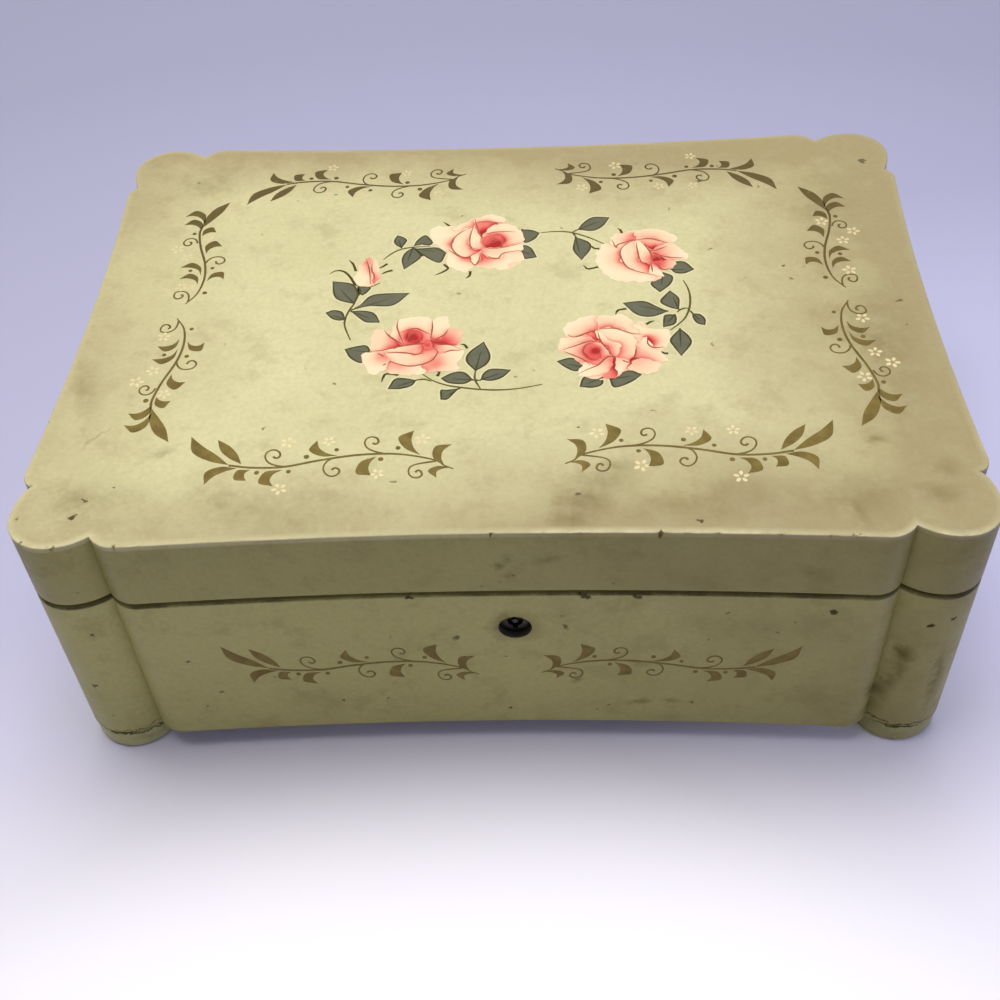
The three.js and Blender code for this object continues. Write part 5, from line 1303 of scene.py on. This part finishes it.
def grown_outline(shape, by):
    """An outline moved away from its middle by a length, or towards it by a negative one."""
    mx = sum(p[0] for p in shape) / len(shape)
    my = sum(p[1] for p in shape) / len(shape)
    moved = []
    for x, y in shape:
        away = math.dist((x, y), (mx, my))
        moved.append((x + (x - mx) / away * by, y + (y - my) / away * by))
    return moved


def closed_flowing(points):
    """A smooth closed outline through points."""
    around = [points[-1]] + points + [points[0], points[1]]
    line = flowing(around)
    first = min(range(len(line)), key=lambda i: math.dist(line[i], points[0]))
    last = max(range(first + 1, len(line)), key=lambda i: -math.dist(line[i], points[0]))
    return line[first:last]


def blended_paint(name, tones, streak):
    """Hand-blended paint: its tone is the mesh's own, with brush streaks 3 mm and 11 mm wide."""
    material, tree = new_material(name)
    place = add(tree, "TexCoord").outputs["Object"]
    painted_tone = add(tree, "Attribute", attribute_name="tone").outputs["Fac"]
    bristles = add(tree, "TexNoise", {"Vector": place, "Scale": 300.0, "Detail": 4.0})
    broad = add(tree, "TexNoise", {"Vector": place, "Scale": 90.0, "Detail": 2.0})
    shift = add(tree, "MapRange", {0: bristles, 1: 0.3, 2: 0.7, 3: -streak, 4: streak})
    shift = add(tree, "Math",
                {0: add(tree, "MapRange", {0: broad, 1: 0.3, 2: 0.7, 3: -streak, 4: streak}), 1: shift},
                operation="ADD")
    tone = add(tree, "Math", {0: painted_tone, 1: shift}, operation="ADD")
    ramp = add(tree, "ValToRGB", {"Fac": tone})
    points = ramp.color_ramp.elements
    for spot, _ in tones[1:-1]:
        points.new(spot)
    for point, (spot, colour) in zip(points, tones):
        point.position, point.color = spot, linear(colour)
    bump = add(tree, "Bump", {"Height": bristles, "Strength": 0.2, "Distance": 0.00004})
    shader = add(tree, "BsdfPrincipled",
                 {"Base Color": ramp, "Roughness": 0.5, "Normal": bump, "Specular IOR Level": 0.25})
    add(tree, "OutputMaterial", {"Surface": shader})
    return material


rose_paint = blended_paint(
    "blended_coral_paint",
    [(0.0, "#f2dfba"), (0.3, "#eec8a4"), (0.55, "#e7937c"), (0.76, "#da544d"), (0.92, "#a81512")], 0.035,
)
rose_line_paint = brush_paint("brushed_russet_paint", "#b0583f", "#9a4532", "#b36a50", 0.1)
leaf_paint = brush_paint("brushed_grey_green_paint", "#666953", "#5a5d4a", "#66654f", 0.12)
border_paint = brush_paint("brushed_dark_olive_paint", "#4a4208", "#3f3806", "#4d4612", 0.1)
vein_paint = brush_paint("brushed_vein_paint", "#4b4a26", "#413f1c", "#4a4826", 0.1)
stem_paint = brush_paint("brushed_olive_stem_paint", "#665e21", "#58511a", "#5f5826", 0.15)
halo_paint = brush_paint("brushed_pale_ground_paint", "#dcd6b2", "#d6cfa4", "#d8d1ac", 0.9)


def in_tenths(numbers, middle=(0, 0)):
    """Places in millimetres from tenths about a middle, listed as x, y, x, y."""
    return [(middle[0] + x * TENTH, middle[1] + y * TENTH) for x, y in paired(numbers)]


def frilled(shape):
    """A petal's outline with the small scallops of a hand-painted edge."""
    return [(x + frill * noise.noise(Vector((x * frill_pitch, y * frill_pitch, 1.0))),
             y + frill * noise.noise(Vector((x * frill_pitch, y * frill_pitch, 9.0)))) for x, y in shape]


def petal_films(name, middle, petals):
    """One rose: its petals as films, each a little higher than the last and shaded where others lie on it."""
    outlines = [frilled(closed_flowing(in_tenths(petal[-1], middle))) for petal in petals]
    points, faces, tones = [], [], []
    for order, ((dark_x, dark_y), reach, dark, light, _) in enumerate(petals):
        outline_points = outlines[order]
        low_x, high_x = min(p[0] for p in outline_points), max(p[0] for p in outline_points)
        low_y, high_y = min(p[1] for p in outline_points), max(p[1] for p in outline_points)
        grid = [(low_x + i * petal_grid, low_y + k * petal_grid)
                for i in range(1, int((high_x - low_x) / petal_grid) + 1)
                for k in range(1, int((high_y - low_y) / petal_grid) + 1)]
        given = [Vector(p) for p in outline_points + grid]
        flat, _, triangles, *_ = delaunay_2d_cdt(given, [], [list(range(len(outline_points)))], 1, 1e-5)
        source = Vector((middle[0] + dark_x * TENTH, middle[1] + dark_y * TENTH))
        above = [Vector(p) for shape in outlines[order + 1:] for p in shape]
        used = sorted({v for triangle in triangles for v in triangle})
        index = {v: i for i, v in enumerate(used)}
        first, count = len(points), len(used)
        level = first_petal + order * petal_step
        for v in used:
            away = min(1.0, (flat[v] - source).length / (reach * TENTH))
            tone = dark + (light - dark) * away * away * (3 - 2 * away)
            nearest = min(((flat[v] - p).length for p in above), default=fold_shade_reach * 9)
            tones.append(min(1.0, tone + fold_shade * math.exp(-nearest / fold_shade_reach)))
        tones += tones[first:first + count]
        points += [on_lid(*flat[v], level) for v in used] + [on_lid(*flat[v], -0.02) for v in used]
        edges = {}
        for triangle in triangles:
            a, b, c = (index[v] for v in triangle)
            faces.append((first + a, first + b, first + c))
            faces.append((first + count + c, first + count + b, first + count + a))
            for edge in ((a, b), (b, c), (c, a)):
                edges[edge] = True
        faces += [(first + b, first + a, first + count + a, first + count + b) for a, b in edges
                  if (b, a) not in edges]
    rose = mesh_piece(name, points, faces, rose_paint)
    rose.data.attributes.new("tone", "FLOAT", "POINT").data.foreach_set("value", tones)
    return rose


def laid_at(level):
    """A placing on the lid's top at one level, whatever the film that is laid there."""
    return lambda x, y, lift: on_lid(x, y, level)


garland = []
for name, (middle, petals, fold_lines) in roses.items():
    garland.append(petal_films(f"rose_{name}", middle, petals))
    folds = [stroke_line(in_tenths(line, middle), *fold_widths) for line in fold_lines]
    garland.append(brush_strokes(f"rose_folds_{name}", folds, laid_at(rose_line_level), (0, 0, 1),
                                 rose_line_paint))
leaf_shapes = [leaf_outline(in_tenths(leaf), garland_leaf_swell) for leaf in garland_leaves]
for name, by, paint, level in (("garland_halos", halo_reach, halo_paint, halo_level),
                               ("garland_leaf_borders", 0.0, border_paint, leaf_level),
                               ("garland_leaf_fills", -leaf_border, leaf_paint, vein_level)):
    shapes = [grown_outline(shape, by) if by else shape for shape in leaf_shapes]
    garland.append(film_shapes(name, shapes, on_lid, paint, level))
veins = []
for leaf in garland_leaves:
    root, _, _, tip, _, _ = in_tenths(leaf)
    end = tuple(r + (t - r) * vein_share for r, t in zip(root, tip))
    veins.append(stroke_line([root, end], *vein_widths))
for name, strokes, level, paint in (
    ("garland_veins", veins, vein_level, vein_paint),
    ("garland_stems", [stroke_line(in_tenths(line), *garland_stem_widths) for line in garland_stems], 0.0,
     stem_paint),
    ("garland_sepals", [stroke_line(in_tenths(line), *sepal_widths) for line in sepals], 0.0, border_paint),
):
    garland.append(brush_strokes(name, strokes, laid_at(level), (0, 0, 1), paint))
for piece in garland:
    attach(piece, "lid")

# Velvet lining
# Short-pile rayon velvet glued over card: the tray in the case, its partitions, the ring table and the
# ledge under the pane. Its pile lies in patches of 18 mm, catches light at its rims and is crushed in
# places 55 mm wide. Its tufts are 0.6 mm, twice the real size so that they show.
def finish(material, *nodes):
    """The material on CAD nodes whose shape is kept."""
    for node in nodes:
        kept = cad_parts[node]
        for place in kept.material_slots:
            place.material = material


velvet, tree = new_material("rose_red_velvet")
place = add(tree, "TexCoord").outputs["Object"]
lay = add(tree, "TexNoise", {"Vector": place, "Scale": 55.0, "Detail": 3.0, "Roughness": 0.6})
nap = add(tree, "TexNoise", {"Vector": place, "Scale": 1600.0, "Detail": 2.0})
crushed = add(tree, "TexNoise", {"Vector": place, "Scale": 18.0, "Detail": 2.0, "Distortion": 1.2})
tone = tinted(tree, linear("#7b1f2e"), lay, 0.35, 0.65, "#93303d")
tone = tinted(tree, tone, crushed, 0.5, 0.7, "#a9505a", 0.45)
tone = tinted(tree, tone, nap, 0.35, 0.65, "#5c1521", 0.3)
height = add(tree, "Math", {0: lay, 1: 0.7, 2: nap}, operation="MULTIPLY_ADD")
bump = add(tree, "Bump", {"Height": height, "Strength": 0.5, "Distance": 0.0002})
shader = add(tree, "BsdfPrincipled",
             {"Base Color": tone, "Roughness": 0.9, "Normal": bump, "Sheen Weight": 0.6,
              "Sheen Roughness": 0.35, "Sheen Tint": linear("#f0b9b4"), "Specular IOR Level": 0.2})
add(tree, "OutputMaterial", {"Surface": shader})
finish(velvet, "case_lining", "partition_long", "partition_movement", "partition_rings", "ring_roll_table",
       "pane_ledge")

# Ring rolls
# Six rolls of foam covered in one piece of the same velvet, tucked down into channels that hold the rings.
# The rolls are crowned, drawn in at their ends, and pinched where the velvet is stitched to the table.
roll_low, roll_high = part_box("ring_roll_pad")
roll_count, roll_steps, roll_across, channel_height, roll_draw, roll_corner = 6, 20, 56, 3.0, 1.8, 4.5


def ring_rolls():
    """The rolls as one closed cushion, section by section along X."""
    x0, x1 = roll_low.x / MM, roll_high.x / MM
    y0, y1 = roll_low.y / MM, roll_high.y / MM
    floor, top = roll_low.z / MM, roll_high.z / MM
    middle, half = (y0 + y1) / 2, (y1 - y0) / 2
    sections, points, faces = roll_count * roll_steps, [], []
    for i in range(sections + 1):
        share = (i % roll_steps) / roll_steps
        swell = 0.0 if i in (0, sections) else math.sin(math.pi * share) ** 0.45
        x = x0 + (x1 - x0) * i / sections
        for k in range(roll_across + 1):
            along = -1 + 2 * k / roll_across
            reach = half - roll_draw * (1 - swell)
            y = middle + reach * math.sin(along * math.pi / 2)
            from_end = reach - abs(y - middle)
            short_of = max(0.0, 1 - from_end / roll_corner)
            ends = math.sqrt(max(0.0, 1 - short_of ** 2))
            dimple = 0.35 * noise.noise(Vector((x * 0.09, y * 0.12, 3.0))) + 0.12 * noise.noise(
                Vector((x * 0.5, y * 0.35, 7.0)))
            height = channel_height + (top - floor - channel_height - 0.5) * swell + dimple * swell
            points.append((x, y, floor + max(0.4, height * (0.12 + 0.88 * ends))))
        points += [(x, middle + reach, floor), (x, middle - reach, floor)]
    ring = roll_across + 3
    for i in range(sections):
        for k in range(ring):
            a, b = i * ring + k, i * ring + (k + 1) % ring
            faces.append((a, a + ring, b + ring, b))
    faces.append(tuple(range(ring)))
    faces.append(tuple(range(sections * ring, (sections + 1) * ring))[::-1])
    return mesh_piece("ring_rolls", points, faces, velvet, smooth_angle=60)


rolls = ring_rolls()
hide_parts("ring_roll_pad")
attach(rolls, "case")

# Lid pad
# Thin wadding under gathered satin on card, glued into the lid round the mirror. The satin is crowned
# between its edges, with fine gathers across it that die out at the middle of each side's width. Its
# threads are 0.75 mm apart, coarser than real ones so that they show, and its creases 29 mm.
pad_low, pad_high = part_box("lid_satin_pad")
frame_low, frame_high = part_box("mirror_frame")
pad_fit, pad_crown, pad_edge_room, gather_depth, gather_pitch = 0.3, 2.6, 3.6, 0.42, 5.2
pad_across, pad_step = 26, 1.1

satin, tree = new_material("pale_rose_satin")
place = add(tree, "TexCoord").outputs["Object"]
threads = add(tree, "TexWave", {"Vector": place, "Scale": 420.0, "Distortion": 0.6, "Detail": 1.0},
              bands_direction="X")
folds = add(tree, "TexNoise", {"Vector": place, "Scale": 35.0, "Detail": 4.0, "Distortion": 0.8})
aged = add(tree, "TexNoise", {"Vector": place, "Scale": 12.0, "Detail": 5.0})
tone = tinted(tree, linear("#d9a9a0"), folds, 0.3, 0.7, "#e5bfb4")
tone = tinted(tree, tone, aged, 0.55, 0.75, "#c79a7f", 0.5)
tone = tinted(tree, tone, threads.outputs["Fac"], 0.2, 0.8, "#b98880", 0.12)
height = add(tree, "Math", {0: folds, 1: 4.0, 2: threads.outputs["Fac"]}, operation="MULTIPLY_ADD")
bump = add(tree, "Bump", {"Height": height, "Strength": 0.3, "Distance": 0.00025})
shader = add(tree, "BsdfPrincipled",
             {"Base Color": tone, "Roughness": 0.36, "Normal": bump, "Sheen Weight": 0.35,
              "Sheen Roughness": 0.3, "Anisotropic": 0.4, "Specular IOR Level": 0.6})
add(tree, "OutputMaterial", {"Surface": shader})


def gathered_pad():
    """The pad round the mirror as one closed ring, from the frame out to the rails."""
    outer = (pad_low.x / MM, pad_low.y / MM, pad_high.x / MM, pad_high.y / MM)
    inner = (frame_low.x / MM - pad_fit, frame_low.y / MM - pad_fit, frame_high.x / MM + pad_fit,
             frame_high.y / MM + pad_fit)
    card = pad_high.z / MM
    pairs = []
    corners_in = [(inner[0], inner[1]), (inner[2], inner[1]), (inner[2], inner[3]), (inner[0], inner[3])]
    corners_out = [(outer[0], outer[1]), (outer[2], outer[1]), (outer[2], outer[3]), (outer[0], outer[3])]
    for side in range(4):
        a, b = corners_in[side], corners_in[(side + 1) % 4]
        c, d = corners_out[side], corners_out[(side + 1) % 4]
        steps = round(math.dist(c, d) / pad_step)
        for i in range(steps):
            t = i / steps
            pairs.append(((a[0] + (b[0] - a[0]) * t, a[1] + (b[1] - a[1]) * t),
                          (c[0] + (d[0] - c[0]) * t, c[1] + (d[1] - c[1]) * t)))
    points, faces = [], []
    travelled = 0.0
    for number, (near, far) in enumerate(pairs):
        if number:
            travelled += math.dist(far, pairs[number - 1][1])
        wander = 2.2 * noise.noise(Vector((travelled * 0.045, 0.5, 2.0)))
        for k in range(pad_across + 1):
            t = k / pad_across
            x, y = near[0] + (far[0] - near[0]) * t, near[1] + (far[1] - near[1]) * t
            crown = math.sin(math.pi * t) ** 0.55
            at_edge = (1 - math.sin(math.pi * t)) ** 1.5 * min(1.0, 12 * t, 12 * (1 - t))
            waver = 0.9 * noise.noise(Vector((x * 0.05, y * 0.05, 1)))
            phase = 2 * math.pi * travelled / gather_pitch + wander + waver
            gather = gather_depth * math.sin(phase) * (0.25 + 0.75 * at_edge) * crown
            soft = 0.3 * noise.noise(Vector((x * 0.06, y * 0.06, 5.0))) * crown
            depth = pad_edge_room * min(1.0, 4 * crown) + pad_crown * crown + gather + soft
            points.append((x, y, card - max(0.6, depth)))
        points += [(far[0], far[1], card), (near[0], near[1], card)]
    ring = pad_across + 3
    count = len(pairs)
    for i in range(count):
        j = (i + 1) % count
        for k in range(ring):
            m = (k + 1) % ring
            faces.append((i * ring + k, j * ring + k, j * ring + m, i * ring + m))
    made = mesh_piece("gathered_satin_pad", points, faces, satin, smooth_angle=70)
    shell = bmesh.new()
    shell.from_mesh(made.data)
    bmesh.ops.recalc_face_normals(shell, faces=shell.faces)
    shell.to_mesh(made.data)
    shell.free()
    return made


satin_pad = gathered_pad()
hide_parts("lid_satin_pad")
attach(satin_pad, "lid")

# Metals
# Small parts of brass, steel and die-cast zinc. Each has its own tooling marks, and years in a closed box
# have dulled it: brown tarnish in patches on brass, grey bloom on zinc, a few rust freckles on steel. The
# patches are 8 mm wide and the freckles 1.4 mm; tooling marks are 0.4 to 2.4 mm apart, coarser than real.
def aged_metal(name, bright, dull, patch, patch_share, roughness, marks_scale):
    """A metal with fine directional tooling marks and tarnished patches."""
    material, tree = new_material(name)
    place = add(tree, "TexCoord").outputs["Object"]
    stretched = add(tree, "Mapping", {"Vector": place, "Scale": marks_scale})
    tooling = add(tree, "TexNoise", {"Vector": stretched, "Scale": 1.0, "Detail": 3.0})
    bloom = add(tree, "TexNoise", {"Vector": place, "Scale": 130.0, "Detail": 6.0, "Roughness": 0.65})
    freckle = add(tree, "TexNoise", {"Vector": place, "Scale": 700.0, "Detail": 2.0})
    colour = tinted(tree, linear(bright), bloom, 0.35, 0.65, dull)
    tarnish = add(tree, "MapRange", {0: bloom, 1: 0.52, 2: 0.7, 4: patch_share})
    spots = add(tree, "MapRange", {0: freckle, 1: 0.66, 2: 0.72, 4: patch_share})
    tarnish = add(tree, "Math", {0: tarnish, 1: spots}, operation="MAXIMUM")
    colour = add(tree, "Mix", {0: tarnish, 6: colour, 7: linear(patch)}, data_type="RGBA")
    rough = add(tree, "Math", {0: tooling, 1: 0.16, 2: roughness - 0.06}, operation="MULTIPLY_ADD")
    rough = add(tree, "Math", {0: tarnish, 1: 0.25, 2: rough}, operation="MULTIPLY_ADD")
    bump = add(tree, "Bump", {"Height": tooling, "Strength": 0.25, "Distance": 0.00003})
    shader = add(tree, "BsdfPrincipled",
                 {"Base Color": colour, "Metallic": 1.0, "Roughness": rough, "Normal": bump})
    add(tree, "OutputMaterial", {"Surface": shader})
    return material


stamped_brass = aged_metal("stamped_brass", "#cdb06c", "#bb9b58", "#7d6238", 0.5, 0.26, (90, 1800, 1800))
turned_brass = aged_metal("turned_brass", "#d3b672", "#c2a25f", "#876a3b", 0.4, 0.22, (2400, 500, 500))
ground_steel = aged_metal("ground_spring_steel", "#c3c4c4", "#aeb0b2", "#6d5a45", 0.4, 0.24,
                          (1500, 120, 1500))
blued_steel = aged_metal("blackened_steel", "#4a4743", "#38342f", "#5f4630", 0.6, 0.42, (700, 700, 700))
cast_zinc = aged_metal("die_cast_zinc", "#9a9b98", "#868783", "#6f706b", 0.6, 0.46, (420, 420, 420))
finish(stamped_brass, "mirror_frame", "hinge_left_case_leaf", "hinge_left_lid_leaf", "hinge_right_case_leaf",
       "hinge_right_lid_leaf", "lock_strike", "stop_pin_sleeve", "winding_key")
finish(turned_brass, "hinge_left_pin", "hinge_right_pin", "spring_barrel", "cylinder_drum", "cylinder_gear",
       "worm_wheel")
finish(ground_steel, "lock_bolt", "comb", "cylinder_arbor", "governor_arbor", "governor_worm",
       "winding_arbor", "stop_pin")
finish(blued_steel, "lock_case", "lock_rotor", "comb_screw_1", "comb_screw_2")
finish(cast_zinc, "movement_bedplate", "comb_riser", "cylinder_bearing", "governor_frame")

# Pins
# Domed brass pins that nail the hinge leaves to case and lid, three a leaf, and the mirror's frame to the
# lid board. Each is pressed in until its head sits on the metal.
def domed_pins(name, places, radius, dome, body):
    """Pin heads on points, domed on both sides of the plane that they are pressed into, by Geometry Nodes."""
    tree, given = growing_tree("domed_pins", Radius="Float", Dome="Float")
    ball = add(tree, "GeometryNodeMeshUVSphere", {"Segments": 20, "Rings": 10, "Radius": 1.0})
    size = add(tree, "CombineXYZ",
               {0: given.outputs["Radius"], 1: given.outputs["Radius"], 2: given.outputs["Dome"]})
    soft = add(tree, "GeometryNodeSetShadeSmooth", {"Geometry": ball})
    head = add(tree, "GeometryNodeTransform", {"Geometry": soft, "Scale": size})
    put = add(tree, "GeometryNodeInstanceOnPoints", {"Points": given.outputs["Geometry"], "Instance": head})
    pins = grown(name, places_mesh(name, places), put, {"Radius": radius * MM, "Dome": dome * MM,
                                                        "Material": turned_brass})
    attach(pins, body)


leaf_low, leaf_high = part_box("hinge_left_case_leaf")
leaf_pin_y, leaf_pin_spread, leaf_pin_radius, leaf_pin_dome = leaf_low.y / MM + 3.2, 10.5, 1.3, 0.08
hinge_axis_z = (leaf_low.z + leaf_high.z) / 2 / MM
hinge_x, middle_pin_shift, leaf_face = 62, 1.6, 0.1
for body, level in (("case", hinge_axis_z - leaf_face), ("lid", hinge_axis_z + leaf_face)):
    spots = [(side * hinge_x + k * leaf_pin_spread, leaf_pin_y + (middle_pin_shift if k == 0 else 0.0), level)
             for side in (-1, 1) for k in (-1, 0, 1)]
    domed_pins(f"hinge_pins_{body}", spots, leaf_pin_radius, leaf_pin_dome, body)
frame_pin_inset, frame_pin_pitch, frame_pin_radius, frame_pin_dome = 2.5, 29.0, 1.1, 0.45
left, right = frame_low.x / MM + frame_pin_inset, frame_high.x / MM - frame_pin_inset
front, rear = frame_low.y / MM + frame_pin_inset, frame_high.y / MM - frame_pin_inset
spots = []
for low, high, fixed, along_x in ((left, right, front, True), (left, right, rear, True),
                                  (front, rear, left, False), (front, rear, right, False)):
    count = round((high - low) / frame_pin_pitch)
    for i in range(0 if along_x else 1, count + (1 if along_x else 0)):
        run = low + (high - low) * i / count
        spots.append((run, fixed, frame_low.z / MM) if along_x else (fixed, run, frame_low.z / MM))
domed_pins("frame_pins", spots, frame_pin_radius, frame_pin_dome, "lid")

# Mirror
# Float glass silvered on its back. The silver has aged: a faint haze in clouds of 25 mm, and brown
# freckles of 4 mm near the frame.
per_half_mirror = (1 / 0.0835, 1 / 0.0495, 0.0)
mirror_glass, tree = new_material("aged_silvered_glass")
place = add(tree, "TexCoord").outputs["Object"]
haze = add(tree, "TexNoise", {"Vector": place, "Scale": 40.0, "Detail": 6.0, "Roughness": 0.7})
freckles = add(tree, "TexNoise", {"Vector": place, "Scale": 260.0, "Detail": 5.0, "Roughness": 0.75})
centred = add(tree, "VectorMath", {0: place, 1: per_half_mirror}, operation="MULTIPLY")
centred = add(tree, "VectorMath", {0: centred}, operation="ABSOLUTE")
parts = add(tree, "SeparateXYZ", {0: centred})
rim = add(tree, "Math", {0: parts.outputs["X"], 1: parts.outputs["Y"]}, operation="MAXIMUM")
near_frame = add(tree, "MapRange", {0: rim, 1: 0.82, 2: 1.0, 4: 0.2})
lost = add(tree, "Math", {0: freckles, 1: near_frame}, operation="ADD")
lost = add(tree, "MapRange", {0: lost, 1: 0.66, 2: 0.74})
silver = tinted(tree, linear("#e9ebe9"), haze, 0.4, 0.7, "#d5d8d4")
silver = add(tree, "Mix", {0: lost, 6: silver, 7: linear("#5f4c38")}, data_type="RGBA")
dim = add(tree, "MapRange", {0: haze, 1: 0.4, 2: 0.75, 3: 0.015, 4: 0.07})
dim = add(tree, "Math", {0: lost, 1: 0.4, 2: dim}, operation="MULTIPLY_ADD")
shader = add(tree, "BsdfPrincipled", {"Base Color": silver, "Metallic": 1.0, "Roughness": dim})
add(tree, "OutputMaterial", {"Surface": shader})
finish(mirror_glass, "mirror")

# Clear pane
# A sheet of cast acrylic over the movement, with cleaning scratches 17 mm long and half a millimetre
# apart, and a little dust in patches of 11 mm.
clear_acrylic, tree = new_material("cast_clear_acrylic")
place = add(tree, "TexCoord").outputs["Object"]
stretched = add(tree, "Mapping", {"Vector": place, "Rotation": (0, 0, 0.6), "Scale": (60, 1900, 1)})
scratches = add(tree, "TexNoise", {"Vector": stretched, "Scale": 1.0, "Detail": 4.0})
dust = add(tree, "TexNoise", {"Vector": place, "Scale": 90.0, "Detail": 8.0, "Roughness": 0.8})
worn = add(tree, "MapRange", {0: scratches, 1: 0.6, 2: 0.72, 3: 0.02, 4: 0.16})
worn = add(tree, "Math", {0: worn, 1: add(tree, "MapRange", {0: dust, 1: 0.55, 2: 0.8, 4: 0.12})},
           operation="ADD")
bump = add(tree, "Bump", {"Height": scratches, "Strength": 0.05, "Distance": 0.00002})
shader = add(tree, "BsdfPrincipled",
             {"Base Color": linear("#f7faf8"), "Roughness": worn, "Normal": bump, "Transmission Weight": 1.0,
              "IOR": 1.49, "Alpha": 0.4})
add(tree, "OutputMaterial", {"Surface": shader})
finish(clear_acrylic, "movement_pane")

# Fan and base board
# The governor's fan is moulded nylon, off-white and slightly waxy, with flow marks of 2.6 mm. The base is a
# sheet of hardboard, smooth and brown, with fibres 4 by 1.4 mm, clouds of 60 mm and scuffs from shelves.
fan_nylon, tree = new_material("moulded_nylon")
place = add(tree, "TexCoord").outputs["Object"]
flow = add(tree, "TexNoise", {"Vector": place, "Scale": 380.0, "Detail": 3.0})
tone = tinted(tree, linear("#d8d2c0"), flow, 0.35, 0.65, "#e6e1d2")
bump = add(tree, "Bump", {"Height": flow, "Strength": 0.15, "Distance": 0.00003})
shader = add(tree, "BsdfPrincipled", {"Base Color": tone, "Roughness": 0.42, "Normal": bump, "IOR": 1.53})
add(tree, "OutputMaterial", {"Surface": shader})
finish(fan_nylon, "governor_fan")

hardboard, tree = new_material("oil_tempered_hardboard")
place = add(tree, "TexCoord").outputs["Object"]
fibre_places = add(tree, "Mapping", {"Vector": place, "Scale": (260, 700, 400)})
fibres = add(tree, "TexNoise", {"Vector": fibre_places, "Scale": 1.0, "Detail": 6.0, "Distortion": 0.7})
cloud = add(tree, "TexNoise", {"Vector": place, "Scale": 16.0, "Detail": 4.0})
scuffs = add(tree, "TexNoise", {"Vector": place, "Scale": 60.0, "Detail": 8.0, "Roughness": 0.75})
tone = tinted(tree, linear("#6d4a2d"), fibres, 0.3, 0.7, "#8c6640")
tone = tinted(tree, tone, cloud, 0.35, 0.7, "#5a3c25", 0.4)
tone = tinted(tree, tone, scuffs, 0.62, 0.72, "#a98a62", 0.5)
bump = add(tree, "Bump", {"Height": fibres, "Strength": 0.3, "Distance": 0.0001})
shader = add(tree, "BsdfPrincipled", {"Base Color": tone, "Roughness": 0.6, "Normal": bump})
add(tree, "OutputMaterial", {"Surface": shader})
finish(hardboard, "base_board")

# The box that the shown pieces fill, backdrop aside.
low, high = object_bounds()
